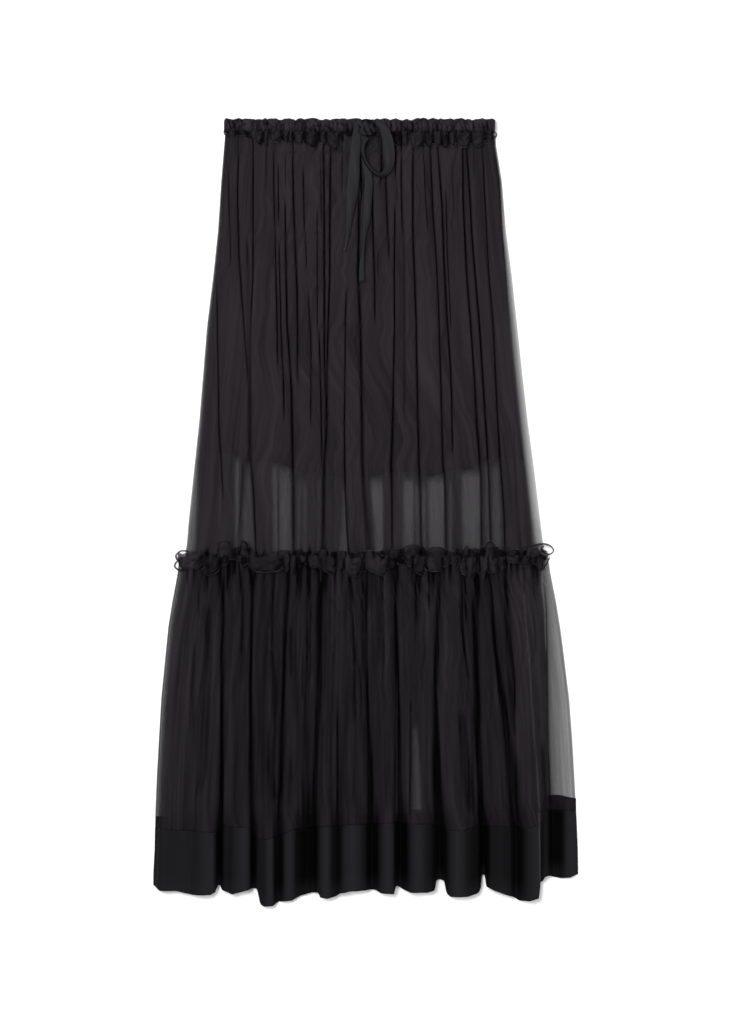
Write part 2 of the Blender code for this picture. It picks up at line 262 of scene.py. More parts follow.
def soft_line(points, steps):
    """A smooth line through the points, with so many steps to each stretch, that never overshoots."""
    points = np.array(points, dtype=float)
    span = np.maximum(np.linalg.norm(np.diff(points, axis=0), axis=1), 1e-6) ** 0.5
    slope = np.diff(points, axis=0) / span[:, None]
    before, after = span[:-1, None], span[1:, None]
    inner = (slope[:-1] * after + slope[1:] * before) / (before + after)
    tangent = np.vstack([slope[:1], inner, slope[-1:]])
    line = [points[:1]]
    for k in range(len(points) - 1):
        t = (np.arange(1, steps + 1) / steps)[:, None]
        start, end = points[k], points[k + 1]
        bend = span[k]
        line.append(
            start * (2 * t**3 - 3 * t**2 + 1)
            + tangent[k] * bend * (t**3 - 2 * t**2 + t)
            + end * (3 * t**2 - 2 * t**3)
            + tangent[k + 1] * bend * (t**3 - t**2)
        )
    return np.vstack(line)


def at_height(line, y):
    """What a line's rows say at one height: each begins with its height, and they run downwards."""
    line = np.array(line, dtype=float)
    return [float(np.interp(-y, -line[:, 0], line[:, column])) for column in range(1, line.shape[1])]


# A crease is how deeply it is pressed in, from 0 to 1, and the line that it takes: height on the skirt,
# place across it, and half width there.
Crease = namedtuple("Crease", "deep line")
UPPER_CREASES = [Crease(deep, line) for deep, *line in (
    (0.6, (445, -174.5, 1.3), (400, -173, 1.3), (350, -171.5, 1.2), (310, -170.5, 1.0)),
    (0.8, (305, -188.8, 1.0), (180, -186.6, 1.2), (110, -185.7, 1.4), (60, -182.5, 1.2), (20, -180.5, 1)),
    (1.0, (495, -160.5, 1.4), (400, -162, 1.5), (320, -160, 1.5), (240, -154, 1.5), (160, -148, 1.6)),
    (1.0, (495, -142, 1.1), (300, -142.4, 1.3), (240, -145.5, 2), (120, -147, 2.6), (70, -146.5, 2.4),
     (30, -142, 1.5), (-70, -138, 1.4)),
    (0.8, (345, -150, 1.5), (300, -148.5, 3), (240, -149.5, 4), (190, -148.5, 3)),
    (0.4, (462, -125.5, 1.1), (405, -125.5, 1.1)),
    (0.6, (470, -117, 1.0), (360, -115.2, 1.0)),
    (0.6, (445, -110.7, 1.0), (365, -109.8, 1.0)),
    (0.4, (448, -101.2, 0.8), (412, -101.2, 0.8)),
    (1.0, (390, -101.7, 0.9), (300, -100.5, 1.4), (240, -99.2, 1.5), (190, -95.8, 1.7), (150, -93.5, 2),
     (60, -92, 2.2), (0, -91.2, 2.2), (-70, -90.9, 2.0)),
    (0.9, (495, -92.4, 1.6), (430, -91.8, 1.4), (380, -90.7, 1.6), (320, -88.3, 1.8), (280, -86.3, 1.8),
     (230, -86, 1.8), (165, -86.2, 1.6)),
    (0.6, (435, -79, 0.9), (355, -77.3, 1.0)),
    (0.5, (355, -76.7, 0.8), (305, -74, 0.8)),
    (0.7, (275, -72.5, 1.0), (230, -69.8, 1.2), (200, -68.8, 1.0), (110, -69.7, 1.0)),
    (0.4, (465, -64, 1.0), (436, -64, 1.0)),
    (0.5, (448, -56.6, 0.8), (360, -55.5, 0.8)),
    (1.0, (495, -53.2, 2.0), (420, -52.6, 1.8), (340, -52.3, 1.5), (200, -51.7, 1.6), (145, -50.5, 1.6)),
    (1.0, (495, -44, 1.0), (370, -45, 1.4), (300, -45.2, 1.4), (240, -47.2, 1.5), (200, -48.5, 1.8),
     (100, -49.6, 2.4), (60, -52.5, 3.0), (-70, -53.7, 2.8)),
    (0.5, (380, -61.2, 0.8), (225, -60.8, 0.9)),
    (0.9, (228, -59.2, 1.0), (180, -57.2, 1.2), (120, -56, 1.3), (55, -54.8, 1.4)),
    (0.5, (495, -30, 0.8), (405, -29.5, 0.8)),
    (0.8, (278, -24.3, 0.9), (240, -25.3, 1.0), (100, -26.8, 1.0), (30, -25.8, 1.0), (-70, -20.8, 1.0)),
    # The next two creases lie where the tie casts its shadow, between its tails and inside its loop: their
    # folds and painted shade stand in for that shadow.
    (1.0, (450, -6, 0.8), (428, -6, 1.2), (420, -5.5, 3.0), (411.5, -4.2, 4.2), (408.5, -4.4, 4.0),
     (406.5, -4.6, 1.0), (380, -7, 0.8)),
    (0.9, (510, 18.5, 0.8), (478, 20.2, 1.0), (455, 20.7, 1.3), (440, 20.7, 1.3), (415, 18.5, 1.0)),
    (1.0, (405, -8, 1.8), (290, -9, 2.2), (240, -6.5, 2.4), (150, -5, 2.6), (60, -3.9, 2.8),
     (20, -1.5, 3.4), (-20, 2, 4.0), (-70, 4.5, 4.0)),
    (0.8, (355, -114.3, 0.9), (300, -113.4, 1.0), (230, -111.7, 1.3), (185, -111, 1.0)),
    (0.8, (340, -109.5, 0.8), (240, -107.2, 1.1), (200, -105.4, 1.3), (160, -103.6, 1.2), (120, -103, 1.2)),
    (0.5, (68, -155, 1.0), (20, -156.7, 1.0), (-10, -159, 1.0), (-45, -163.5, 1.0)),
    (0.5, (38, -110.5, 0.8), (-70, -110.3, 0.8)),
    (0.9, (415, 8, 1.4), (380, 9, 1.7), (340, 9.9, 1.7), (300, 11.3, 1.4), (245, 11.8, 1.0)),
    (0.4, (335, 15.5, 1.2), (295, 15.4, 1.2)),
    (0.7, (436, 25.3, 1.0), (370, 27.4, 1.3), (320, 30, 1.0)),
    (0.9, (495, 37.4, 1.2), (425, 38.2, 1.0)),
    (0.4, (418, 40, 1.5), (392, 40, 1.5)),
    (0.9, (384, 37.3, 1.0), (300, 36.3, 1.1), (240, 36.8, 1.1), (180, 35.6, 1.3), (120, 34.7, 1.6),
     (90, 33.6, 2.2), (55, 32.7, 2.2), (30, 33.6, 1.2), (-70, 33.6, 1.0)),
    (0.8, (495, 45.8, 1.5), (420, 45.4, 1.3), (380, 46, 1.1), (360, 46.8, 1.0)),
    (0.5, (375, 47, 2.0), (320, 49, 2.5), (180, 49.5, 2.6), (125, 49, 2.0)),
    (1.0, (495, 60.5, 1.5), (400, 59.8, 1.5), (350, 60.2, 1.6), (240, 64.2, 1.4), (160, 65.5, 1.5),
     (60, 67.6, 1.6), (20, 69.8, 1.2), (-70, 71, 1.0)),
    (0.55, (475, 72.8, 1.0), (400, 76, 1.0), (355, 78.6, 0.9)),
    (0.95, (495, 80.6, 1.6), (420, 83.7, 1.4), (370, 86, 1.3), (320, 89.7, 1.0), (260, 92.6, 1.0),
     (160, 95.6, 1.3), (60, 98, 1.8), (30, 101, 1.4), (-70, 102.3, 1.2)),
    (1.0, (495, 89, 1.0), (420, 94.5, 1.3), (380, 97.4, 1.6), (320, 99.3, 1.6), (250, 103, 1.7),
     (190, 107.2, 1.4), (150, 109, 1.2), (75, 110, 1.2)),
    (0.6, (405, 101.5, 1.0), (330, 103.4, 1.0), (270, 106.5, 1.0), (230, 108, 1.0)),
    (0.35, (458, 109.5, 2.0), (420, 110, 2.0), (380, 112.5, 1.0)),
    (1.0, (495, 123, 1.1), (400, 123.5, 1.3), (350, 125.7, 1.3), (300, 128, 1.3), (240, 133, 1.4),
     (150, 139.1, 1.8), (110, 140.9, 2.2), (80, 143.5, 1.9), (40, 145.8, 1.5), (-70, 147.8, 1.5)),
    (0.95, (495, 125.8, 1.3), (400, 132.2, 1.5), (350, 134.8, 1.5), (300, 138.9, 1.5), (240, 144, 1.5),
     (180, 147.8, 1.6), (110, 152.2, 1.6), (75, 154.3, 1.4), (30, 156.5, 1.0), (-70, 159.6, 1.0)),
    (0.3, (462, 138, 1.5), (422, 138.6, 1.5)),
    (0.9, (495, 146.8, 1.4), (400, 150.9, 1.1), (300, 156.2, 1.0), (240, 161.5, 1.2), (130, 166.7, 1.4),
     (70, 169.9, 1.4), (40, 172.5, 1.3), (0, 175.4, 1.2), (-70, 177.5, 1.1)),
    (0.3, (115, 188, 2.5), (60, 189, 3.0), (-10, 190, 3.0)),
)]


CREASE_FADE = 30
FINE_STEPS = 1600


def fade_of(crease, y):
    """A crease comes and goes over a short stretch at each end of its line."""
    start, end = crease.line[0][0], crease.line[-1][0]
    return float(smooth((start - y) / CREASE_FADE + 0.4) * smooth((y - end) / CREASE_FADE + 0.4))


def folded_rows(levels_down, creases, outline, rest, stands, edges, count, shoulders=0.28, tight=1.0):
    """Points (across, height) at each level of a panel pressed in by its creases.

    The points crowd together where a crease runs. rest and stands give how high the cloth lies in the
    deepest crease and how much higher between creases, edges how high its two sides lie, shoulders how much
    of a crease lies in the wide slopes beside it, and tight how narrow its creases are drawn.
    """
    rows = []
    for y in levels_down:
        left, right = outline(y)
        now = [(c.deep * fade_of(c, y), *at_height(c.line, y)) for c in creases]
        now = [(deep, place, half * tight) for deep, place, half in now if deep > 0.01]
        fine = np.linspace(left, right, FINE_STEPS)
        crowd = np.full(len(fine), 0.4)
        for deep, place, half in now:
            wide = 1.7 * half + 0.4
            crowd += 3.2 * (0.3 + 0.7 * deep) / wide * np.exp(-(((fine - place) / wide) ** 2))
        pile = np.concatenate([[0], np.cumsum((crowd[1:] + crowd[:-1]) / 2)])
        across = np.interp(np.linspace(0, pile[-1], count), pile, fine)
        standing = np.ones(count)
        for deep, place, half in now:
            off = np.abs(across - place) / half
            sharp = (1 - shoulders) * np.exp(-(off**2)) + shoulders * np.exp(-((off / 3.2) ** 2))
            standing *= 1 - deep * sharp
        low, tall = rest(across, y), stands(across, y)
        side = smooth(np.minimum(across - left, right - across) / 9)
        edge = np.where(across < (left + right) / 2, edges[0], edges[1])
        rows.append(np.stack([across, edge + (low - edge + tall * standing) * side], axis=1))
    return np.array(rows)


def creases_seen(across, height, scales=((2.5, 1.5), (13.0, 5.0))):
    """Painted shade at each point, from 0 to 1: how far it lies in a crease, by how far it is below what is
    near it.
    """
    shade = np.zeros_like(across)
    for k, (x, z) in enumerate(zip(across, height)):
        apart = x[:, None] - x[None, :]
        weight = np.abs(np.gradient(x)) + 0.05
        for reach, deep in scales:
            near = np.exp(-((apart / reach) ** 2)) * weight
            shade[k] = np.maximum(shade[k], np.clip((near @ z / near.sum(axis=1) - z) / deep, 0, 1))
    return shade


def piece_of(shape, name, material, slot, node=None, wall=None):
    """A piece from its finished shape, in its material. node is what it stands for, wall its thickness."""
    mesh = bpy.data.meshes.new(name)
    shape.to_mesh(mesh)
    shape.free()
    mesh.materials.append(material)
    piece = bpy.data.objects.new(name, mesh)
    bpy.context.scene.collection.objects.link(piece)
    if wall:
        thickness = piece.modifiers.new("thickness", "SOLIDIFY")
        thickness.thickness = wall * MM
        thickness.offset = 0.0
    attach(piece, "root")
    if node:
        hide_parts(node)
    return piece


def cloth_object(name, across, along, height, cover, wall, material, node, slot, shade=None):
    """A sheet of cloth through a grid of points, with its own map, cover and painted shade, and a thickness.
    """
    rows, columns = across.shape
    # without a shade given, it gets the painted shade of its creases
    shade = creases_seen(across, height) if shade is None else shade
    panel = bmesh.new()
    bmesh.ops.create_grid(panel, x_segments=columns - 1, y_segments=rows - 1, size=0.5)
    panel.verts.ensure_lookup_table()
    steps = np.hypot(np.diff(across, axis=1), np.diff(height, axis=1))
    girth = np.concatenate([[0], np.cumsum(steps[-1])])
    weave = panel.loops.layers.uv.new("cloth")
    thick = panel.verts.layers.float.new("cover")
    dim = panel.verts.layers.float.new("shade")
    spots = {}
    for vertex in panel.verts:
        column = round((vertex.co.x + 0.5) * (columns - 1))
        row = round((0.5 - vertex.co.y) * (rows - 1))
        spots[vertex.index] = (row, column)
        vertex.co = Vector((across[row, column], along[row, column], height[row, column])) * MM
        vertex[thick] = cover[row, column]
        vertex[dim] = shade[row, column]
    for face in panel.faces:
        face.smooth = True
        for loop in face.loops:
            row, column = spots[loop.vert.index]
            loop[weave].uv = (girth[column] * MM, along[row, column] * MM)
    return piece_of(panel, name, material, slot, node, wall)


CHIFFON_WALL = 0.3
chiffon = chiffon_finish("black_crepe_chiffon")

low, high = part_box("upper_tier_front")
WAIST, SEAM = high.y / MM, low.y / MM
BACK_REST = 0.35
FRONT_REST = 2.6
LINED_REST = 5.2
LINED_FROM = 15  # above this height the slip lies under the tier and lifts it
OPENINGS_FOOT = -45

# Height on the skirt, and where its left and right sides are there.
UPPER_OUTLINE = (
    (WAIST, -178, 163), (419, -183, 173), (358, -187, 178), (297, -193.5, 186), (236, -201, 192.5),
    (175, -206, 199), (114, -211, 206), (53, -217.6, 214), (-8, -224, 221.5), (-38, -226.5, 225),
    (SEAM, -229, 228),
)
# Height, and how wide the single sheer edge is there at the left and at the right.
UPPER_STRIPS = (
    (WAIST, 0.5, 2), (400, 0.5, 3), (270, 1, 8), (150, 2, 9), (60, 3.5, 11), (0, 8, 12), (SEAM, 12, 14),
)
# Where the folded cloth opens below the slip: left and right at the top of the opening, left and right at
# its foot, the height where it starts, and how many thicknesses of cloth it is.
Opening = namedtuple("Opening", "left right left_foot right_foot start cover")
UPPER_OPENINGS = [Opening(*row) for row in (
    (-188, -183, -188, -183, 40, 3.6), (-167.5, -159, -167.5, -161.5, 78, 2.3),
    (-152.5, -147, -158.5, -141, 70, 2.9), (-121.5, -111.5, -118.5, -111, 70, 2.6),
    (-110, -94.5, -110, -94, 66, 2.3), (-88, -82.5, -88.5, -82.5, 54, 2.9),
    (-80.5, -74, -81, -74.5, 52, 2.9), (-62.5, -57.5, -63, -58.5, 52, 3.2), (-31, -28, -34, -23, 48, 2.6),
    (3.7, 22, 10.5, 22.5, 52, 2.0), (46, 61, 46, 61, 54, 2.1), (61.5, 67, 62.5, 68, 46, 2.4),
    (70, 76, 71, 76.5, 46, 2.6), (77.5, 99, 78.5, 100, 54, 2.2), (103.5, 109.5, 103.5, 110, 50, 2.7),
    (119.5, 145, 121.5, 145.5, 62, 2.15), (148, 154, 149, 157, 72, 2.9), (157.5, 168, 160, 173, 70, 2.5),
)]


def upper_outline(y):
    return at_height(UPPER_OUTLINE, y)


def edge_cover(across, left, right, wide, outer, inner, folded):
    """Single at the two sides, thicker over a narrow strip, and then as thick as the folds lie."""
    from_left = np.interp(across - left, (0, wide[0], wide[0] + 4), (outer[0], inner[0], folded))
    from_right = np.interp(right - across, (0, wide[1], wide[1] + 3), (outer[1], inner[1], folded))
    return np.minimum(from_left, from_right)


def open_up(cover, across, y, openings, foot, until=-1000.0):
    """The cover, thinned in each opening from its start down to until. foot is where its foot is measured."""
    for gap in openings:
        share = (gap.start - y) / (gap.start - foot)
        left = gap.left + (gap.left_foot - gap.left) * share
        right = gap.right + (gap.right_foot - gap.right) * share
        here = smooth((across - left) / 3.5 + 0.5) * smooth((right - across) / 3.5 + 0.5)
        here = here * smooth((gap.start - 6 - y) / 26 + 0.5) * smooth((y - until) / 3 + 0.5)
        cover = cover + (gap.cover - cover) * here
    return cover


def swells(across, left, right, count, seed):
    """Slow swellings across a panel, from -1 to 1, that fan out with it from top to bottom."""
    drift = np.array([wander(k * 0.83, seed) for k in range(count)])
    return np.interp((across - left) / (right - left), np.linspace(0, 1, count), drift)


def levels(start, end, count):
    """Heights down a panel, closer together near both its ends."""
    crowd = 0.35
    t = np.linspace(0, 1, count)
    return start + (end - start) * (t - crowd * np.sin(2 * np.pi * t) / (2 * np.pi))


def gathers(count, seed):
    """The small uneven ripples that gathering leaves next to a seam, from -1 to 1, column by column."""
    column = np.arange(count)
    return np.sin(column * 0.95 + 2.4 * np.sin(column * 0.061 + seed) + 0.9 * np.sin(column * 0.23 + seed))


def under_frill(shade, across, along, at_seam, reach):
    """Painted shade next to a frill: striped unevenly, light and dark, by its gathers, and a painted shadow
    in between, where it keeps the light off.
    """
    stripes = 0.55 + 0.8 * drifts(at_seam, 3.4, 31) + 0.45 * drifts(at_seam, 9.5, 32)
    reaches = reach * (0.75 + 0.5 * drifts(at_seam, 6.5, 33))
    stripes, reaches = (np.interp(across, at_seam, part) for part in (np.clip(stripes, 0.1, 1), reaches))
    close = 1 - smooth(np.abs(along - SEAM) / reaches - 0.1)
    return shade + (np.maximum(stripes, shade) - shade) * close + (stripes - shade) * 0.5 * close**2


def build_upper_front():
    """The front of the upper tier, over the slip and open below it."""
    count = 410
    along = levels(WAIST, SEAM, 92)

    def rest(across, y):
        return np.full_like(across, FRONT_REST + (LINED_REST - FRONT_REST) * smooth((y - LINED_FROM) / 60))

    def stands(across, y):
        growth = (0.4 + 0.6 * smooth((WAIST - y) / 60)) * (0.5 + 0.5 * smooth((y - SEAM) / 40))
        left, right = upper_outline(y)
        uneven = 1.3 * swells(across, left, right, 16, 4) + 0.9 * swells(across, left, right, 52, 6)
        return growth * (4.6 + uneven)

    grid = folded_rows(
        along, UPPER_CREASES, upper_outline, rest, stands, (1.3, 1.3), count, shoulders=0.2, tight=0.72
    )
    ripple = gathers(count, 1)
    covers = []
    for y, row in zip(along, grid):
        reach = (1 - smooth((WAIST - y) / 75)) + (1 - smooth((y - SEAM) / 45))
        free = smooth(np.minimum(row[:, 0] - row[0, 0], row[-1, 0] - row[:, 0]) / 12)
        row[:, 1] += 0.55 * reach * ripple * free
        left, right = upper_outline(y)
        paling = smooth((WAIST - y) / 190)
        wide = at_height(UPPER_STRIPS, y)
        outer, inner = (3.6 - 2.0 * paling, 1.6 - 0.9 * paling), (4.1 - 1.4 * paling, 2.5 - 0.5 * paling)
        cover = edge_cover(row[:, 0], left, right, wide, outer, inner, 8.0)
        closing = 0.25 * smooth(-y / 30)
        covers.append(open_up(cover, row[:, 0], y, UPPER_OPENINGS, OPENINGS_FOOT) + closing)
    y_grid = np.repeat(along[:, None], count, axis=1)
    # Painted shade: in the creases, a little all over and more towards the seam, and the painted stripes and
    # shadow next to the frill.
    shade = creases_seen(grid[:, :, 0], grid[:, :, 1], scales=((1.7, 1.1), (13.0, 6.0)))
    shade = shade + (1 - shade) * (0.04 + 0.07 * smooth((200 - y_grid) / 120))
    piece = cloth_object(
        "upper_tier_front_cloth", grid[:, :, 0], y_grid, grid[:, :, 1], np.array(covers), CHIFFON_WALL,
        chiffon, "upper_tier_front", "chiffon",
        under_frill(shade, grid[:, :, 0], y_grid, grid[-1, :, 0], reach=14),
    )


build_upper_front()


def back_creases(outline, top, foot, count, seed):
    """Creases of the back, spread unevenly over its width: most of them long, some short."""
    found = []
    for k in range(count):
        share = (k + 0.5 + 0.42 * wander(k * 0.9, seed)) / count
        deep = 0.65 + 0.35 * wander(k * 1.3, seed + 1)
        start = top + 20 if k % 3 else top - (top - foot) * (0.25 + 0.2 * wander(k * 0.7, seed + 2))
        end = foot - 20 if k % 4 else foot + (top - foot) * (0.3 + 0.2 * wander(k * 0.8, seed + 3))
        line = []
        for y in np.linspace(start, end, 4):
            left, right = outline(y)
            sway = 2.2 * wander(k * 2.1 + y / 140, seed + 4)
            line.append((y, left + (right - left) * (0.03 + 0.94 * share) + sway, 1.1 + 0.5 * deep))
        found.append(Crease(deep, tuple(line)))
    return found


def build_back(
    name, node, top, foot, rows, outline, creases, cover, tall, wall, finish, lift, strips=(9, 9)
):
    """A panel of the back, pressed nearly flat, from a straight edge at top to the edge that foot gives.

    foot gives the height on the skirt at places across it, tall how far the cloth stands up between its
    creases, lift where it lies higher off the floor, and strips how wide its sheer sides are.
    """
    count = 300
    share = np.linspace(0, 1, rows)
    lowest = float(np.min(foot(np.linspace(-270, 270, 50))))
    along = top + (lowest - top) * share

    def rest(across, y):
        return np.full_like(across, BACK_REST + 1.3 * lift(y))

    def stands(across, y):
        return np.full_like(across, tall)

    grid = folded_rows(along, creases, outline, rest, stands, (0.9, 0.9), count)
    y_grid = np.repeat(along[:, None], count, axis=1)
    y_grid = top + (y_grid - top) * ((foot(grid[-1, :, 0]) - top) / (lowest - top))[None, :]
    covers = []
    for row in grid:
        covers.append(edge_cover(row[:, 0], row[0, 0], row[-1, 0], strips, (1.4, 0.8), (2.2, 1.2), cover))
    piece = cloth_object(
        name, grid[:, :, 0], y_grid, grid[:, :, 1], np.array(covers), wall, finish[0], node, finish[1]
    )


def over_frills(y):
    """The back lies higher where its frills are folded flat under it."""
    return max(float(smooth((abs(y - SEAM) - 38) / -14)), float(smooth((y - 446) / 14)))


build_back(
    "upper_tier_back_cloth",
    "upper_tier_back",
    top=WAIST,
    foot=lambda across: np.full_like(across, SEAM),
    rows=46,
    outline=upper_outline,
    creases=back_creases(upper_outline, WAIST, SEAM, count=34, seed=5),
    cover=3.0,
    tall=1.15,
    wall=CHIFFON_WALL,
    finish=(chiffon, "chiffon"),
    lift=over_frills,
)


# ---- lining ----
# A short straight slip of opaque plain-weave lining, caught into the casing with the chiffon. It hangs
# free of the tier and ends in a narrow hem well above the tier seam.

LINING_WALL = 0.4
LINING_LEFT, LINING_WIDE = -203, 390  # the stretch of the hem line below that its width takes up
# Place across, and the height of the hem there.
LINING_HEM = (
    (-205, 76), (-167, 74), (-150, 64), (-120, 64), (-95, 56), (-80, 49), (-30, 44), (0, 45), (20, 50),
    (50, 52), (65, 45), (80, 47), (100, 54), (120, 54), (140, 66), (150, 70), (190, 66),
)


def lining_finish():
    """A smooth matt lining cloth, quite opaque."""
    material, shader, yarn = new_finish(
        "black_slip_lining", (0.009, 0.009, 0.0095), roughness=0.75, shine=0.1
    )
    threads = grain(yarn, 1500, 1500)
    yarn.put(
        shader.inputs["Base Color"], shaded(yarn, (0.007, 0.007, 0.0075), (0.011, 0.011, 0.0115), threads)
    )
    yarn.put(shader.inputs["Normal"], raised(yarn, threads, 0.2, 0.0002))
    return material


def build_lining(name, node, height, lower):
    """One half of the slip, at a height above the floor. lower is how much lower its hem hangs."""
    columns, rows = 120, 50
    share_across = np.linspace(0, 1, columns)
    at_hem = LINING_LEFT + LINING_WIDE * share_across
    hem = along_table(at_hem, LINING_HEM) - lower
    down = np.linspace(0, 1, rows)[:, None]
    along = WAIST - 1 + (hem[None, :] - WAIST + 1) * down
    across = np.empty_like(along)
    for row in range(rows):
        left, right = upper_outline(float(along[row].mean()))
        inset = 2.5 + 11 * float(smooth(down[row, 0] / 0.9))
        across[row] = left + inset + (right - left - 2 * inset) * share_across
    waves = np.sin(share_across * 71 + lower + 1.5 * np.sin(share_across * 13)) * 0.22
    uneven = height + waves[None, :] * np.ones_like(down)
    piece = cloth_object(
        name, across, along, uneven, np.ones_like(across), LINING_WALL, lining, node, "lining"
    )


lining = lining_finish()
build_lining("lining_back_cloth", "lining_back", height=2.9, lower=-5)
build_lining("lining_front_cloth", "lining_front", height=4.1, lower=0)


# ---- lower tier, front and back ----
# The lower tier is the same chiffon, fuller than the upper one: it is gathered at the tier seam and
# its folds open and stand up towards the hem.

LOWER_OUTLINE = (
    (SEAM, -236, 231), (-76, -238, 234), (-114, -245, 241.5), (-145, -250, 246.5), (-175, -253, 250.5),
    (-236, -259, 258), (-289, -262, 262), (-335, -264.6, 264.6), (-381, -266.5, 267), (-426, -267.3, 269),
    (-460, -269, 269.5), (-510, -269, 269.5),
)
LOWER_CREASES = [Crease(deep, line) for deep, *line in (
    (0.5, (-70, -212, 1.0), (-145, -211, 1.2)),
    (0.3, (-105, -194, 3.0), (-230, -197, 4.0), (-385, -200, 4.0)),
    (0.3, (-155, -219, 2.0), (-245, -220, 2.0)),
    (1.0, (-30, -182, 1.3), (-160, -181, 1.8), (-230, -181.4, 1.8), (-315, -181.8, 2.0),
     (-370, -182.4, 2.4), (-400, -184.5, 3.6), (-520, -184.5, 3.6)),
    (0.5, (-62, -175, 1.0), (-115, -174, 1.0)),
    (0.5, (-55, -162, 1.0), (-110, -156, 1.0), (-165, -155, 1.4)),
    (1.0, (-30, -143, 1.1), (-95, -142, 1.1), (-160, -144.4, 1.5), (-230, -145, 1.8), (-315, -144.5, 2.0),
     (-370, -144.2, 2.2), (-400, -142, 3.2), (-520, -142, 3.2)),
    (0.5, (-84, -118, 1.0), (-155, -117, 1.2)),
    (0.45, (-272, -123.7, 1.0), (-325, -124.5, 1.3), (-395, -119, 3.0)),
    (1.0, (-30, -101, 2.5), (-90, -101, 2.5), (-130, -101.6, 1.8), (-196, -102.6, 2.0), (-280, -105, 2.2),
     (-350, -106, 2.5), (-400, -110.5, 4.4), (-520, -110.5, 4.4)),
    (0.5, (-58, -86, 1.0), (-115, -88, 1.0)),
    (0.8, (-62, -72.7, 1.0), (-115, -72.5, 1.0)),
    (0.7, (-105, -69.3, 1.0), (-215, -69, 1.2)),
    (0.4, (-165, -79.5, 0.8), (-245, -79.8, 0.8)),
    (0.4, (-125, -86, 1.0), (-180, -88, 1.0), (-290, -85, 1.2), (-360, -82, 2.0)),
    (1.0, (-30, -58, 1.6), (-90, -57, 1.8), (-145, -54.5, 2.0), (-175, -56, 3.4), (-230, -59, 4.4),
     (-264, -60.8, 4.5), (-332, -63, 4.4), (-400, -67, 5.0), (-520, -67, 5.0)),
    (0.8, (-388, -82, 6.0), (-520, -82, 6.0)),
    (0.5, (-58, -47, 1.0), (-104, -48, 1.0)),
    (0.4, (-70, -39, 0.8), (-125, -40, 0.8)),
    (0.5, (-252, -36, 0.9), (-320, -35.3, 1.2), (-380, -35, 2.4), (-400, -36.5, 3.8), (-520, -36.5, 3.8)),
    (0.8, (-66, -21, 1.1), (-128, -14.9, 1.1), (-170, -10.5, 1.2), (-213, -6.4, 1.4), (-262, -2.5, 1.6)),
    (0.35, (-185, -16, 3.0), (-245, -18, 3.5)),
    (1.0, (-30, -4, 2.0), (-130, -4, 2.0), (-200, -2, 2.4), (-230, 0, 3.2), (-315, 3, 4.2), (-400, 8, 5.4),
     (-520, 8, 5.4)),
    (0.35, (-72, 20, 1.0), (-130, 22, 1.2), (-205, 23, 1.2)),
    (0.95, (-30, 35.5, 1.3), (-87, 37.5, 1.3), (-128, 38.5, 1.3), (-196, 40, 1.8), (-264, 41.5, 2.0),
     (-332, 43, 2.4), (-400, 44.5, 5.6), (-520, 44.5, 5.6)),
    (0.8, (-58, 65.5, 1.3), (-145, 64, 1.1)),
    (0.4, (-235, 57.5, 1.0), (-390, 56, 1.5)),
    (0.55, (-58, 79, 1.0), (-125, 81, 1.2)),
    (1.0, (-30, 92, 2.0), (-128, 93.6, 2.3), (-196, 90, 3.0), (-230, 87.2, 3.6), (-298, 88.5, 3.8),
     (-349, 92, 3.2), (-400, 94.5, 6.0), (-520, 94.5, 6.0)),
    (0.6, (-100, 119, 1.0), (-145, 120.8, 1.0), (-179, 126, 1.0), (-215, 131.5, 1.0)),
    (0.8, (-64, 125, 1.2), (-145, 127.6, 1.0)),
    (1.0, (-30, 142, 3.4), (-94, 141, 3.2), (-162, 139.5, 2.0), (-213, 139.5, 1.6), (-264, 142, 1.6),
     (-315, 143.6, 1.8), (-383, 146.6, 2.6), (-400, 149.5, 4.6), (-520, 149.5, 4.6)),
    (0.95, (-58, 157, 1.2), (-128, 161.6, 1.2), (-172, 165, 1.5), (-213, 170, 1.8), (-250, 175, 2.6),
     (-298, 181, 4.2), (-349, 185, 4.6), (-400, 191, 5.0), (-520, 191, 5.0)),
    (0.85, (-55, 178, 1.5), (-128, 180, 1.6), (-162, 184, 1.4), (-213, 189, 1.2), (-255, 189.5, 1.0)),
    (0.3, (-84, 213, 1.0), (-185, 216, 1.0)),
    (0.55, (-383, 223.2, 1.4), (-520, 223.2, 1.4)),
    (0.9, (-100, 229, 1.1), (-230, 231, 1.2), (-315, 232, 1.2), (-366, 234, 1.4), (-388, 239, 7.0),
     (-520, 239, 7.0)),
)]
# Height, and where the closely folded cloth stops at the right: past it there is a single sheer layer.
LAST_FOLD = ((SEAM, 224), (-128, 229.6), (-230, 231), (-315, 232), (-366, 234), (-510, 236))
SLIVER = Opening(57, 65.5, 57.4, 71.5, -262, 1.7)
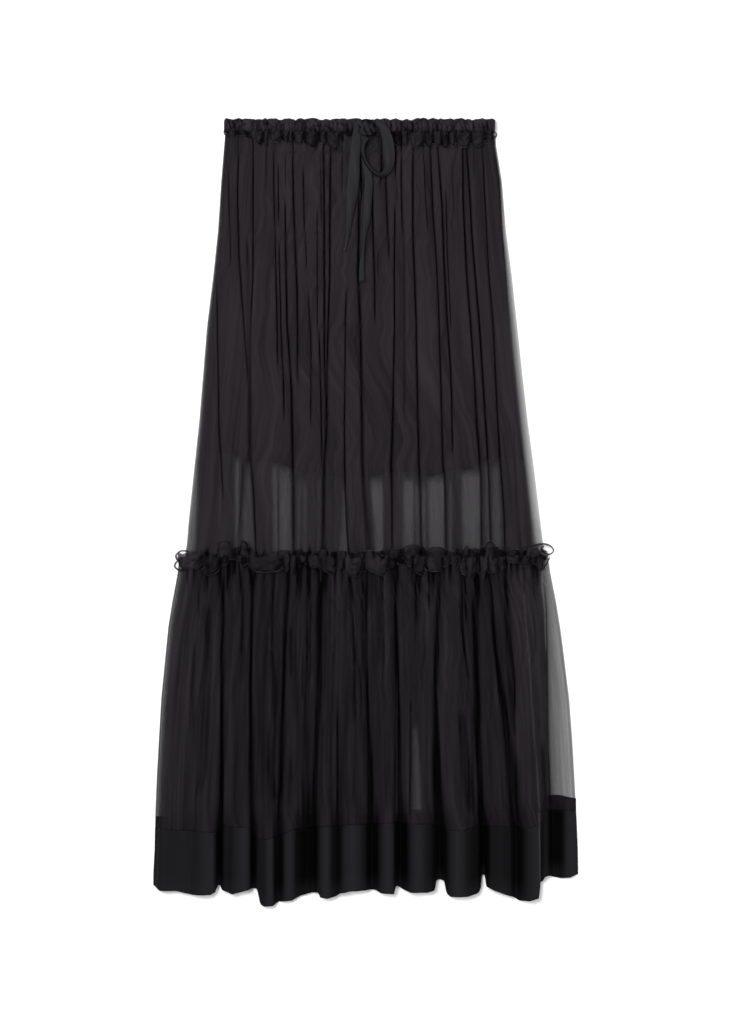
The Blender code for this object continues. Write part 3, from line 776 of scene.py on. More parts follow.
# A pale line, where a fold's edge lies thin: partly real, as a thinner cover that lets more light through,
# and partly a painted gleam. Its rows give the cover there, how much it gleams, and height, place across and
# half width.
PaleLine = namedtuple("PaleLine", "cover gleam line")
LOWER_PALE_LINES = [PaleLine(cover, gleam, line) for cover, gleam, *line in (
    (2.6, 0.85, (-110, 200, 0.7), (-175, 205.8, 0.9), (-230, 209, 1.1), (-281, 212.6, 1.0),
     (-325, 215.4, 0.8), (-383, 219.2, 0.7), (-420, 220.2, 0.6)),
    (3.2, 0.3, (-70, 23.6, 1.0), (-130, 25.2, 0.9), (-175, 25.8, 0.8), (-215, 26.2, 0.7)),
    (3.0, 0.35, (-80, -42.3, 0.8), (-145, -42.6, 0.8)),
    (3.2, 0.3, (-120, -15.4, 0.7), (-150, -12.5, 0.8), (-190, -9, 0.8)),
    (3.4, 0.25, (-80, -167, 0.9), (-112, -166.6, 0.8)),
    (3.6, 0.2, (-190, -141.2, 0.6), (-250, -141.6, 0.6)),
    (3.3, 0.25, (-120, 5.2, 0.7), (-150, 5, 0.6)),
    (3.8, 0.2, (-215, 40, 0.6), (-385, 39.6, 0.7)),
    (2.4, 0.4, (-60, 224, 2.6), (-95, 223.6, 2.6), (-130, 227, 1.6), (-185, 228.6, 0.8)),
    (4.2, 0.12, (-80, 54.6, 1.0), (-115, 54.4, 0.8)),
    (4.2, 0.12, (-140, -68.4, 0.8), (-225, -68.2, 0.8)),
)]

# A hollow beside a fold lies in the shade: how dark, from 0 to 1, and at each height where it begins, where
# it is darkest and where it ends across the skirt.
Hollow = namedtuple("Hollow", "deep line")
LOWER_HOLLOWS = [Hollow(deep, line) for deep, *line in (
    (0.7, (-115, -214, -203, -186), (-175, -208, -199, -185), (-225, -210, -201, -185),
     (-275, -215, -202, -191), (-325, -217, -204, -189), (-360, -222, -213, -200)),
    (0.64, (-165, -220, -217, -212), (-225, -225, -220, -214), (-280, -226, -221, -215)),
    (0.8, (-80, -207.5, -205.2, -203), (-108, -207, -204.5, -201)),
    (1.0, (-60, -184.5, -181.5, -173), (-95, -184.5, -181.5, -173.5), (-130, -184.5, -180.2, -174),
     (-175, -188, -181.3, -178.6), (-225, -188, -181.2, -179.7), (-275, -189.5, -181, -178.5),
     (-325, -190.5, -180.6, -178.4), (-370, -189, -181.3, -178), (-430, -190, -184.5, -178)),
    (0.8, (-70, -163, -157, -151), (-130, -161, -156, -150.5), (-185, -162, -158, -153)),
    (1.0, (-60, -149, -142.4, -140.6), (-95, -149, -142.2, -140.8), (-130, -149.5, -144.6, -141.4),
     (-175, -151.5, -144.2, -141.9), (-225, -151.5, -144.8, -142.6), (-275, -151.5, -144.3, -142.6),
     (-325, -154, -144.3, -142.4), (-370, -153, -144.2, -141.8), (-430, -148, -142, -136)),
    (1.0, (-60, -105, -98, -92), (-95, -104, -97, -92), (-130, -105.5, -98.5, -94),
     (-175, -107, -102.5, -98), (-225, -111, -103.6, -99.4), (-275, -112, -105, -102.3),
     (-325, -112, -106.8, -103.8), (-370, -114, -109, -103.5), (-430, -117, -110, -103)),
    (0.82, (-70, -122, -116, -109), (-130, -122, -119, -114), (-175, -123, -118.5, -112),
     (-225, -126, -113, -105), (-275, -123, -113, -106), (-325, -131, -119, -110),
     (-370, -124, -114, -106)),
    (0.8, (-140, -100, -96, -88), (-175, -101, -96, -86), (-215, -99, -94, -88)),
    (0.97, (-60, -64, -57, -50.5), (-95, -64, -58, -51), (-130, -66, -60, -51.2), (-175, -69, -56, -51.3),
     (-225, -68, -58, -51.3), (-275, -69.5, -61, -54.8)),
    (1.0, (-235, -68, -59, -52.5), (-275, -69.5, -61, -55), (-325, -72, -62, -57.8),
     (-370, -75, -62.5, -58.3), (-430, -92, -68, -57)),
    (0.84, (-70, -76.5, -73.8, -71.6), (-130, -79, -74, -69), (-175, -78, -73.6, -69.5),
     (-225, -80, -74.5, -68.5), (-275, -88, -76, -66), (-325, -88, -75, -66), (-370, -97, -74, -62),
     (-430, -97, -76, -62)),
    (0.7, (-300, -98, -94.5, -90), (-350, -98, -94, -89)),
    (0.9, (-75, -46.5, -43.8, -43.0), (-150, -46.5, -44.4, -43.2)),
    (0.72, (-150, -42, -38, -33), (-225, -47, -42, -37), (-275, -48, -43.5, -38), (-325, -49, -45, -41),
     (-385, -50, -45, -41)),
    (0.88, (-345, -40, -35.5, -30.5), (-385, -42, -35.5, -29.5), (-430, -43, -36, -29)),
    (0.97, (-66, -22.5, -20.4, -19), (-95, -22.5, -20.2, -18.8), (-130, -22, -17.2, -15.6),
     (-175, -21, -14, -10.4), (-200, -22, -12.5, -9)),
    (0.76, (-190, -25, -13, -9), (-225, -29, -14, -9), (-275, -22, -12.4, -9)),
    (1.0, (-60, -3.5, 1.4, 5.4), (-95, -3.2, 1.4, 5.4), (-130, -3.2, 1, 4.4), (-175, -3.7, 0.8, 4.4),
     (-225, -3.2, 1.6, 7.4), (-275, -3, 3.6, 10.4), (-325, -2.4, 4.6, 15), (-370, -2.2, 5.2, 17),
     (-430, -5, 8, 20)),
    (0.78, (-75, 8, 12.5, 17), (-130, 10, 16, 24), (-195, 12, 18.5, 24)),
    (0.9, (-112, 32.5, 37, 42), (-130, 32.5, 37.5, 42.3), (-175, 29, 40, 43.5), (-225, 34, 42, 45.5),
     (-275, 32.5, 42, 48.5), (-325, 27.5, 42.5, 50.5), (-370, 27, 44, 54), (-430, 33, 44, 54)),
    (0.8, (-66, 58.5, 63, 67.5), (-130, 60.5, 63.2, 66), (-165, 62, 63.6, 65.5)),
    (0.95, (-70, 78.8, 80.4, 82), (-118, 79.4, 80.6, 82)),
    (0.96, (-60, 87, 94, 99.5), (-95, 87.5, 94, 98.8), (-130, 81, 92.8, 96), (-175, 80.5, 91, 95.5),
     (-225, 82.5, 88.5, 93.5)),
    (1.0, (-150, 83, 92, 96), (-175, 82, 91, 95), (-225, 83.5, 88.5, 93), (-275, 82.5, 88.5, 98.5),
     (-325, 75, 91, 101.5), (-370, 78, 92.5, 108), (-430, 80, 96, 110)),
    (0.97, (-60, 128, 142, 150), (-95, 128, 142, 149.6), (-130, 126, 140, 147), (-175, 130, 139, 150.5),
     (-225, 130, 140.5, 151), (-275, 129, 141.6, 151)),
    (1.0, (-235, 133, 140.8, 149), (-275, 133, 141.6, 149), (-325, 136, 143.5, 154), (-370, 137, 146, 161),
     (-430, 130, 150, 160)),
    (0.78, (-250, 111, 120, 134), (-325, 114, 128, 143), (-385, 117, 134, 146)),
    (0.88, (-75, 119.6, 121.6, 124.5), (-130, 119, 122.6, 126), (-185, 121.5, 125.6, 129.5)),
    (0.92, (-60, 148, 155, 164), (-95, 147.5, 156, 163.5), (-130, 153.5, 160, 165.5),
     (-175, 157.5, 164.2, 169.5), (-225, 162, 171, 181), (-275, 168, 179, 193), (-325, 169, 187, 200),
     (-370, 173, 188, 202), (-430, 176, 194, 206)),
    (0.88, (-60, 171.5, 177, 182), (-95, 171.5, 177, 181.5), (-130, 172, 178.6, 184),
     (-175, 171, 181.4, 190), (-225, 173, 184.8, 190.5), (-285, 178, 187, 197)),
    (0.68, (-290, 216.5, 224, 232), (-325, 217, 224, 233), (-370, 219.5, 227, 234), (-410, 221, 228, 236)),
)]
# Place across, and the painted shade of the cloth there outside its hollows.
LOWER_BASE_SHADE = (
    (-270, 0.27), (-225, 0.3), (-205, 0.4), (-178, 0.39), (-150, 0.44), (-130, 0.54), (-100, 0.52),
    (-78, 0.44), (-48, 0.49), (-30, 0.54), (0, 0.5), (30, 0.49), (50, 0.36), (70, 0.34), (85, 0.39),
    (105, 0.21), (114, 0.3), (122, 0.44), (155, 0.49), (172, 0.46), (185, 0.3), (195, 0.19), (206, 0.24),
    (215, 0.3), (230, 0.32), (270, 0.27),
)


def hollows_seen(across, along):
    """The painted shade at each point of the lower tier, from 0 to 1: a base painted shade across it, or a
    hollow's if darker.
    """
    shade = along_table(across, LOWER_BASE_SHADE)
    for hollow in LOWER_HOLLOWS:
        line = np.array(hollow.line, dtype=float)
        start, darkest, end = (np.interp(-along, -line[:, 0], line[:, column]) for column in (1, 2, 3))
        near = np.minimum((across - start) / (darkest - start), (end - across) / (end - darkest))
        fade = smooth((line[0, 0] - along) / 26 + 0.5) * smooth((along - line[-1, 0]) / 26 + 0.5)
        shade = np.maximum(shade, hollow.deep * fade * smooth(near * 1.15))
    return shade


def thin_lines(cover, shade, across, y):
    """The cover and the painted shade, let down to a pale line's own along each of them: there the shade
    falls below 0, a painted gleam.
    """
    for pale in LOWER_PALE_LINES:
        place, half = at_height(pale.line, y)
        fade = smooth((pale.line[0][0] - y) / 20 + 0.5) * smooth((y - pale.line[-1][0]) / 20 + 0.5)
        near = fade * np.exp(-(((across - place) / half) ** 2))
        cover = cover + (pale.cover - cover) * near
        shade = shade - (pale.gleam + shade) * near
    return cover, shade


def streaks(across, along):
    """Thin uneven streaks that run down with the folds, from -1 to 1."""
    seen = np.empty_like(across)
    for k, (row, y) in enumerate(zip(across, along.mean(axis=1))):
        fanned = 500 * (row - row[0]) / (row[-1] - row[0])
        seen[k] = [2 * noise.noise(Vector((u / 2.6, y / 75, 5.3))) for u in fanned]
    return seen


# Place across, and the height of the band's seam there.
BAND_SEAM = (
    (-270, -401), (-235, -403.5), (-200, -405), (-190, -406), (-184, -399), (-165, -399), (-147, -400),
    (-141, -412), (-125, -415), (-113, -412), (-104, -408), (-92, -403), (-62, -400), (-45, -398),
    (-20, -396), (20, -395), (40, -393), (60, -395), (88, -396), (103, -403), (124, -404), (140, -397),
    (165, -398), (200, -400), (214, -398.5), (219.8, -397.5), (221, -381), (231, -378.5), (245, -378),
    (258, -379), (270, -380),
)
# Place across, and how far down the hem reaches there: it falls lowest on the crests of the folds.
HEM_LINE = (
    (-270, -472), (-266, -475), (-260, -479), (-240, -479.3), (-220, -484), (-196, -484), (-190.4, -481),
    (-188.6, -476), (-186.3, -471.7), (-184.2, -474), (-181.6, -478.4), (-169, -483), (-155, -480),
    (-144.6, -477), (-137, -476.3), (-135.4, -484.6), (-133, -496), (-128.7, -499.4), (-118, -498.7),
    (-109.3, -493.4), (-93.4, -492), (-84.6, -487.2), (-72.3, -482.8), (-59.5, -481.6), (-57.4, -487.8),
    (-48.5, -489), (-37, -486), (-31.8, -482), (-19.4, -479.6), (0, -478.5), (13, -478.3), (20, -482),
    (36, -482.8), (37.8, -474), (39.5, -473), (47, -477.5), (57.8, -481), (77.6, -481.4), (87.6, -478.3),
    (89.4, -466.7), (92.8, -465.2), (100, -467), (101.6, -478.3), (103.6, -483.7), (108, -486.8),
    (129.6, -486.4), (142.2, -482), (145.6, -477.4), (147, -460.4), (149, -459), (151.4, -461.3),
    (153.2, -473.9), (163.7, -479.2), (185.3, -486.4), (194.2, -491.8), (207.7, -491.8), (217.6, -489),
    (219.3, -488), (220.2, -481), (220.8, -468.5), (224, -467.4), (226.4, -462.6), (231, -460),
    (237.5, -462), (247.6, -464), (259, -463.4), (268, -459.5),
)
LOWER_COUNT = 400
LOWEST_LEVEL = -505.0
BAND_LEVEL, HEM_LEVEL = -398, -478  # about where the seam of the band and the hem run
LOW_FOLDS_FROM = -196  # left of here the folds stand lower
GATHERED_TO = 232  # right of here the single layer lies smooth
SLIVER_FOOT = -383
LOWER_LEVELS = np.linspace(SEAM - 0.5, LOWEST_LEVEL, 140)


def lower_outline(y):
    return at_height(LOWER_OUTLINE, y)


def lower_shape():
    """The folds of the lower tier at every level down to the hem: across and height of each column."""

    def rest(across, y):
        return np.full_like(across, FRONT_REST)

    def stands(across, y):
        share = float(np.clip((SEAM - y) / 420, 0, 1))
        tall = 3.2 + 9.6 * share**0.8
        left, right = lower_outline(y)
        broad, narrow = swells(across, left, right, 18, 14), swells(across, left, right, 70, 16)
        tall = tall * (1 + 0.2 * broad + 0.26 * narrow)
        (last,) = at_height(LAST_FOLD, y)
        lower_at_left = 1 - 0.35 * smooth((LOW_FOLDS_FROM - across) / 40)
        return tall * (1 - 0.8 * smooth((across - last) / 5)) * lower_at_left

    grid = folded_rows(
        LOWER_LEVELS, LOWER_CREASES, lower_outline, rest, stands, (1.6, 1.6), LOWER_COUNT, shoulders=0.42
    )
    ripple = gathers(LOWER_COUNT, 4)
    for y, row in zip(LOWER_LEVELS, grid):
        reach = 1 - smooth((SEAM - y) / 120)
        free = smooth(np.minimum(row[:, 0] - row[0, 0], GATHERED_TO - row[:, 0]) / 14)
        row[:, 1] += 1.5 * reach**1.5 * ripple * free
    return grid


def on_folds(shape, along):
    """Points of the folded shape at other heights, column by column."""
    falling = -LOWER_LEVELS
    across, height = np.empty_like(along), np.empty_like(along)
    for column in range(along.shape[1]):
        across[:, column] = np.interp(-along[:, column], falling, shape[:, column, 0])
        height[:, column] = np.interp(-along[:, column], falling, shape[:, column, 1])
    return across, height


shape = lower_shape()
near_band = int(np.argmin(np.abs(LOWER_LEVELS - BAND_LEVEL)))
near_hem = int(np.argmin(np.abs(LOWER_LEVELS - HEM_LEVEL)))
band_line = along_table(shape[near_band, :, 0], BAND_SEAM)
hem_line = along_table(shape[near_hem, :, 0], HEM_LINE)


def lower_cover(across, y):
    """How dense the lower tier is across one height: less so near its left edge and past its last fold."""
    left, right = lower_outline(y)[0], across[-1]
    (last,) = at_height(LAST_FOLD, y)
    from_left = np.interp(across - left, (0, 1, 2, 5, 7.5, 26), (7.0, 5.5, 3.4, 3.3, 6.5, 8.8))
    share = np.clip((across - last) / max(right - last, 1.0), 0, 1)
    pale = 3.3 - 1.8 * share + 2.0 * smooth((across - right + 3.7) / 1.9)
    cover = from_left + (pale - from_left) * smooth((across - last) / 2.0 + 0.5)
    return open_up(cover, across, y, [SLIVER], SLIVER_FOOT, SLIVER_FOOT + 2.0)


# Place across, and the band's painted shade there, by how deep in a fold it lies: 1 in the hollows, 0 on the
# crests, left palest for their painted shine.
BAND_FOLD_SHADE = (
    (-270, 0.45), (-262, 0.29), (-225, 0.31), (-208, 0.29), (-201, 0.08), (-193.5, 0.04), (-191, 0.6),
    (-187, 1), (-182, 1), (-178, 0.6), (-168, 0.5), (-160, 0.15), (-154, 0), (-149, 0.15), (-145, 0.95),
    (-140, 0.95), (-136, 0.65), (-128, 0.55), (-123, 0.05), (-119, 0), (-116, 0.8), (-110, 0.95),
    (-105, 0.9), (-100, 0.15), (-96, 0), (-92, 0.3), (-88, 0.9), (-80, 1), (-62, 1), (-57, 0.4), (-52, 0),
    (-47, 0.1), (-42, 0.85), (-36, 0.95), (-31, 0.8), (-25, 0.2), (-17, 0), (-9, 0.25), (-3, 0.65),
    (2, 0.95), (15, 0.95), (21, 0.35), (28, 0), (33, 0.2), (37, 0.9), (44, 1), (52, 0.95), (57, 0.4),
    (64, 0.05), (70, 0.1), (76, 0.45), (84, 0.85), (95, 1), (103, 0.9), (109, 0.3), (115, 0), (121, 0.1),
    (128, 0.55), (138, 0.85), (148, 1), (155, 0.95), (160, 0.6), (172, 0.55), (183, 0.7), (190, 0.95),
    (198, 0.9), (205, 0.4), (212, 0.15), (219, 0), (221.5, 0), (223, 0.55), (230, 0.65), (233, 1), (247, 1),
    (250.5, 0.85), (254, 0.3), (257, 0.08), (264, 0.0), (270, 0.2),
)


def near_the_band(shade, across, along):
    """The painted shade of the band's hollows runs up a little way into the cloth above it, and fades out
    there.
    """
    hollow = 0.25 + 0.7 * along_table(across, BAND_FOLD_SHADE)
    return shade + (hollow - shade) * 0.8 * (1 - smooth((along - band_line[None, :]) / 42))


def build_lower_front():
    """The front of the lower tier, from its seam down to the band."""
    down = np.linspace(0, 1, 100)[:, None]
    along = SEAM - 0.5 + (band_line[None, :] - SEAM + 0.5) * down
    across, height = on_folds(shape, along)
    # Painted shade: the hollows, the creases with random streaks in them, the painted stripes and shadow
    # under the frill, and the band's hollows running up; thin_lines adds painted gleams.
    hollows = hollows_seen(across, along)
    folds = np.maximum(hollows, creases_seen(across, height, scales=((1.9, 1.1),)))
    folds = folds + 0.2 * streaks(across, along) * (0.3 + hollows)
    shade = near_the_band(under_frill(folds, across, along, across[0], reach=62), across, along)
    levels_down = [float(y) for y in along.mean(axis=1)]
    cover = np.array([lower_cover(row, y) for row, y in zip(across, levels_down)])
    lines = [thin_lines(*row) for row in zip(cover, np.clip(shade, 0, 1), across, levels_down)]
    cover, shade = (np.array(part) for part in zip(*lines))
    piece = cloth_object(
        "lower_tier_front_cloth", across, along, height, cover, CHIFFON_WALL, chiffon,
        "lower_tier_front", "chiffon", shade,
    )


BACK_BAND_SEAM = (
    (-270, -386), (64, -383), (215, -374), (232, -359), (245, -358.5), (258, -361.5), (270, -364),
)


def back_band_seam(across):
    return along_table(across, BACK_BAND_SEAM)


build_back(
    "lower_tier_back_cloth",
    "lower_tier_back",
    top=SEAM - 0.5,
    foot=back_band_seam,
    rows=34,
    outline=lambda y: (lower_outline(y)[0] + 3, lower_outline(y)[1] - 3),
    creases=back_creases(lower_outline, SEAM, -386, count=40, seed=9),
    cover=3.6,
    tall=1.15,
    wall=CHIFFON_WALL,
    finish=(chiffon, "chiffon"),
    lift=over_frills,
    strips=(9, 36),
)
build_lower_front()


# ---- hem band, front and back ----
# A straight band of opaque black satin, folded double and sewn to the lower tier's edge. It is stiffer
# than the chiffon, so the folds stand rounder in it. Their broad soft shine is a painted highlight on the
# crests, and the dark in their hollows is painted shade.

SATIN_WALL = 0.8
# A thin painted line of light runs down the edge of the last full fold: its place at its top, and its two
# ends.
LAST_CREST, CREST_TOP, CREST_FOOT = 219.3, -383, -482
BACK_HEM, BACK_SIDES = -458.0, (-266, 267)


def satin_finish():
    """Satin: close threads across a surface that is cloudy in tone and in shine."""
    material, shader, yarn = new_finish("black_satin", (0.0124, 0.0122, 0.0137), roughness=0.42, shine=0.01)
    threads = grain(yarn, 2200, 300)
    cloudy = grain(yarn, 22, 16)
    colour = shaded(yarn, (0.0108, 0.0106, 0.0119), (0.0137, 0.0135, 0.0151), threads * 0.5 + cloudy * 0.5)
    yarn.put(shader.inputs["Base Color"], in_creases(yarn, colour))
    yarn.put(shader.inputs["Roughness"], 0.36 + 0.12 * cloudy)
    yarn.put(shader.inputs["Normal"], raised(yarn, threads, 0.12, 0.0002))
    return material


satin = satin_finish()


def build_front_band():
    """The front of the band, on the same folds as the tier above it."""
    down = np.linspace(0, 1, 36)[:, None]
    along = band_line[None, :] + 0.8 + (hem_line - band_line - 0.8)[None, :] * down
    across, height = on_folds(shape, along)
    height = height - 0.3
    # Painted shade from the band's fold table, less of it towards the hem, and a painted highlight (edge)
    # down the last crest, where the shade goes below 0.
    paler_at_hem = 1 - 0.3 * smooth((down - 0.7) / 0.3)
    folds = (0.04 + 0.96 * along_table(across, BAND_FOLD_SHADE)) ** 0.88 * paler_at_hem
    off_edge = across - LAST_CREST - (CREST_TOP - along) * 0.016
    edge = np.exp(-((off_edge / 0.55) ** 2)) * smooth((along - CREST_FOOT) / 20)
    piece = cloth_object(
        "hem_band_front_cloth", across, along, height, np.ones_like(along), SATIN_WALL, satin,
        "hem_band_front", "satin", folds - (0.8 + folds) * edge,
    )


build_front_band()
build_back(
    "hem_band_back_cloth",
    "hem_band_back",
    top=BACK_HEM,
    foot=back_band_seam,
    rows=20,
    outline=lambda y: BACK_SIDES,
    creases=back_creases(lambda y: BACK_SIDES, BACK_HEM, -370, count=20, seed=9),
    cover=1.0,
    tall=1.0,
    wall=0.5,
    finish=(satin, "satin"),
    lift=lambda y: 0.0,
)


# ---- tier frill ----
# A narrow strip of the chiffon, gathered along its middle and sewn down over the tier seam, so that both
# its edges stand free in uneven lobes. The raw edges are rolled, and curl where they turn the sides.

# Each row is one lobe of a free edge: its left and right ends, how far it reaches past the stitching, how
# high it stands, and how much further its right side reaches than its left.
Lobe = namedtuple("Lobe", "left right reach height tilt")
LOWER_LOBES = [Lobe(*row) for row in (
    (-237, -207, 15, 3.5, 0.1), (-207, -182, 22, 5.0, -0.2), (-175, -165, 3, 4.0, 0.0),
    (-164, -155, 5, 4.0, 0.0), (-149, -103, 19, 5.5, 0.0), (-103, -96, 17, 6.5, 0.3),
    (-95, -88, 21, 4.5, 0.0), (-83, -75, 6, 5.0, 0.0), (-73, -56, 13, 5.5, 0.1), (-57, -36, 20, 5.0, 0.4),
    (-35, -28, 14, 6.5, 0.0), (-27, -3, 24, 6.0, 0.0), (-2, 29, 21, 5.0, 0.7), (30, 38, 13, 5.5, 0.0),
    (39, 48, 9, 4.5, 0.3), (49, 60, 12, 5.0, 0.3), (60, 76, 22, 6.0, 0.4), (77, 98, 18, 6.5, 0.0),
    (99, 107, 12, 5.0, 0.0), (108, 117, 9, 4.0, 0.2), (118, 127, 22, 6.0, 0.3), (127, 140, 26, 6.5, 0.0),
    (145, 155, 23, 6.5, -0.2), (156, 167, 20, 5.0, 0.0), (168, 176, 19, 5.5, 0.0), (178, 196, 7, 4.0, 0.2),
    (197, 208, 12, 5.0, 0.0), (209, 216, 9, 5.0, 0.0), (217, 224, 18, 4.0, 0.0),
)]
UPPER_LOBES = [Lobe(*row) for row in (
    (-187, -168, 20, 4.5, -0.1), (-166, -159, 8, 4.5, 0.0), (-158, -147, 20, 4.5, -0.2),
    (-146, -138, 9, 4.0, -0.4), (-111, -94, 8, 4.5, 0.0), (-87, -80, 9, 4.0, 0.0), (-70, -62, 5, 5.0, 0.2),
    (-60, -48, 8, 5.0, 0.0), (-33, -24, 7, 5.0, 0.0), (-10, -1, 6, 5.0, 0.0), (0, 11, 8, 5.5, 0.0),
    (28, 45, 10, 4.0, 0.0), (47, 69, 15, 3.5, 0.1), (78, 101, 12, 5.5, 0.0), (103, 113, 7, 4.5, -0.3),
    (123, 130, 13, 5.5, 0.0), (131, 145, 10, 4.5, -0.1), (151, 164, 19, 4.5, 0.1), (165, 173, 9, 4.0, 0.0),
    (178, 196, 9, 4.5, 0.3), (203, 222, 11, 4.5, 0.0),
)]
FRILL_REST = 7.4
FRILL_ROWS = 14
FRILL_COVER = 5.0
DOWNWARDS, UPWARDS = -1, 1
EDGE_RADIUS = 0.28
EDGE_SIDES = 7


def frill_half(lobes, sides, stitches, way, rest, between, dim=0.0):
    """One free half of a frill, from its stitching to its edge: grids of across, along, height and painted
    shade.

    between is how far the edge stands clear of the stitching where there is no lobe, and dim how much more
    painted shade it gets than the tones of its lobes, where it lies behind them.
    """
    spread = np.sin(np.linspace(-0.5, 0.5, 21) * np.pi)
    place, reach, stand, tone = [sides[0]], [between], [0.0], [1.0]
    for k, lobe in enumerate(lobes):
        middle, wide = (lobe.left + lobe.right) / 2, lobe.right - lobe.left
        place += list(middle + 0.5 * wide * spread)
        blunt = (1 - np.abs(spread) ** 4) ** 0.5
        reach += list(between + (lobe.reach - between) * blunt * (1 + lobe.tilt * spread / 2))
        stand += list(0.8 + lobe.height * (1 - np.abs(spread) ** 2.6))
        # tone: a random tone for each lobe, and painted shade on its right side, away from the light; the
        # gaps between lobes get painted shade
        tone += list(max(0.0, 0.15 + 0.55 * wander(k * 1.7, len(lobes))) + 0.4 * smooth(spread))
        if k + 1 < len(lobes):
            gap = np.linspace(lobe.right, lobes[k + 1].left, 8)[1:-1]
            loops = np.abs(np.sin(gap / 2.9))
            place += list(gap)
            reach += list(between + (1.2 + between) * 0.8 * loops)
            stand += list(1.8 * loops)
            tone += [0.6] * len(gap)
    place, reach, stand, tone = (
        np.array(part + [end]) for part, end in zip((place, reach, stand, tone), (sides[1], between, 0, 1))
    )
    down = np.linspace(0, 1, FRILL_ROWS)[:, None]
    ripple = gathers(len(place), 2)
    ragged = drifts(place, 2.6, 9)
    crumple = np.array([[wander(x / 5.5 + 3 * t, 44 + int(6 * t)) for x in place] for t in down[:, 0]])
    across = place + 0.9 * crumple * smooth(down * 2) + 1.2 * ripple * (1 - smooth(down * 1.5))
    start = -4.0 + 2.0 * drifts(place, 7.0, 48)
    along = stitches + way * (start * (1 - down) + (reach + 0.6 * ragged) * down) + 0.8 * crumple * (1 - down)
    lobed = np.clip(stand / 3.4, 0, 1)
    height = rest - 2.4 * (1 - smooth(down / 0.3)) + stand * smooth(down * 1.2)
    height = height + 0.7 * ripple * (1 - smooth(down / 0.8)) + 0.8 * crumple * smooth(down * 2)
    height = height - 1.4 * smooth(down * 1.5) * (1 - lobed)
    # Painted shade: in the pinched gathers by the stitching, a painted shadow along the lobes' free edges
    # (lip), in the crinkle lines and the gaps between lobes, and lighter near the stitching (sewn_down).
    pinched = 0.5 * np.clip(-ripple, 0, 1) * (1 - smooth(down / 0.8)) - 0.2 * crumple
    lip = 0.8 * smooth((down - 0.84) / 0.16)
    lines = np.array([[crinkle(x, 16 * t, 7.0, 9) for x in place] for t in down[:, 0]])
    height = height - 0.6 * lines
    gaps = 0.7 * (1 - lobed) * smooth(down * 2)
    sewn_down = 0.5 * (1 - smooth(down / 0.5))
    shade = np.clip(dim + tone + 0.5 * lines + gaps + pinched + lip - sewn_down, -0.1, 0.9)
    return across, along, height, shade, lobed


def tucks_under(lobes, seed):
    """The parts of a frill that are folded back between and behind its lobes: small, close and low."""
    tucks = []
    for k, (lobe, ahead) in enumerate(zip(lobes, lobes[1:])):
        middle = (lobe.right + ahead.left) / 2 + 1.5 * wander(k * 1.9, seed)
        wide = 6.5 + 2.5 * wander(k * 2.7, seed + 1)
        reach = 0.45 * max(lobe.reach, ahead.reach) + 0.35 * min(lobe.reach, ahead.reach)
        if ahead.left - lobe.right < 22 and (not tucks or middle - wide / 2 > tucks[-1].right + 0.5):
            tucks.append(Lobe(middle - wide / 2, middle + wide / 2, reach, 3.0, wander(k * 3.3, seed + 2)))
    return tucks


def rolled_edge(name, points, lobed, gleam):
    """The narrow rolled hem of a raw edge: a round thread of cloth along the points, closed at its ends.

    lobed says where it stands free on a lobe, from 0 to 1: elsewhere it is tucked in, thin and in painted
    shade.
    gleam is how much of it is left out of that painted shade, where it catches the light.
    """
    run = [Vector(point) for point in points]
    hem = bmesh.new()
    bmesh.ops.create_grid(hem, x_segments=len(run) - 1, y_segments=EDGE_SIDES, size=0.5)
    dim = hem.verts.layers.float.new("shade")
    for vertex in hem.verts:
        place = round((vertex.co.x + 0.5) * (len(run) - 1))
        vertex[dim] = 1 - lobed[place] * min(1.0, max(0.0, gleam + 0.6 * wander(run[place].x / 9, 19)))
        angle = 2 * math.pi * (vertex.co.y + 0.5)
        ahead = (run[min(place + 1, len(run) - 1)] - run[max(place - 1, 0)]).normalized()
        aside = ahead.cross(Vector((0, 0.01, 1))).normalized()
        above = aside.cross(ahead)
        wide = 0.0 if place in (0, len(run) - 1) else EDGE_RADIUS * (0.3 + 0.7 * lobed[place])
        vertex.co = (run[place] + (aside * math.cos(angle) + above * math.sin(angle)) * wide) * MM
    bmesh.ops.remove_doubles(hem, verts=hem.verts, dist=1e-7)
    bmesh.ops.recalc_face_normals(hem, faces=hem.faces)
    for face in hem.faces:
        face.smooth = True
    return piece_of(hem, name, rolled, "chiffon")


def edge_finish():
    """The rolled edge: the chiffon twisted up, dark and with painted glints unevenly along it."""
    material, shader, yarn = new_finish(
        "rolled_chiffon_edge", (0.028, 0.026, 0.028), roughness=0.5, shine=0.3
    )
    place = yarn.node("ShaderNodeTexCoord", output=3)
    twist = yarn.node("ShaderNodeTexNoise", Vector=place, Scale=75.0, Detail=3.0)
    twist = (twist - 0.5) * 3 + 0.5
    # the twist noise sets where the painted glints fall along the dark edge
    colour = shaded(yarn, (0.008, 0.007, 0.008), (0.05, 0.046, 0.05), twist)
    yarn.put(shader.inputs["Base Color"], in_creases(yarn, colour))
    yarn.put(shader.inputs["Normal"], raised(yarn, twist, 0.3, 0.0002))
    return material


rolled = edge_finish()


def frill_piece(name, halves, node, cuts, curls, gleam):
    """The free halves of a frill, with their rolled edges."""
    for k, ((across, along, height, shade, lobed), cut) in enumerate(zip(halves, cuts)):
        cover = np.full_like(across, FRILL_COVER)
        half = cloth_object(
            f"{name}_{k + 1}", across, along, height, cover, CHIFFON_WALL, chiffon, node, "chiffon", shade
        )
        points = np.stack([across[-1], along[-1], height[-1]], axis=1)
        hem = rolled_edge(f"{name}_{k + 1}_edge", points, lobed, gleam)
        [hem] + (curls if k == 0 else [])


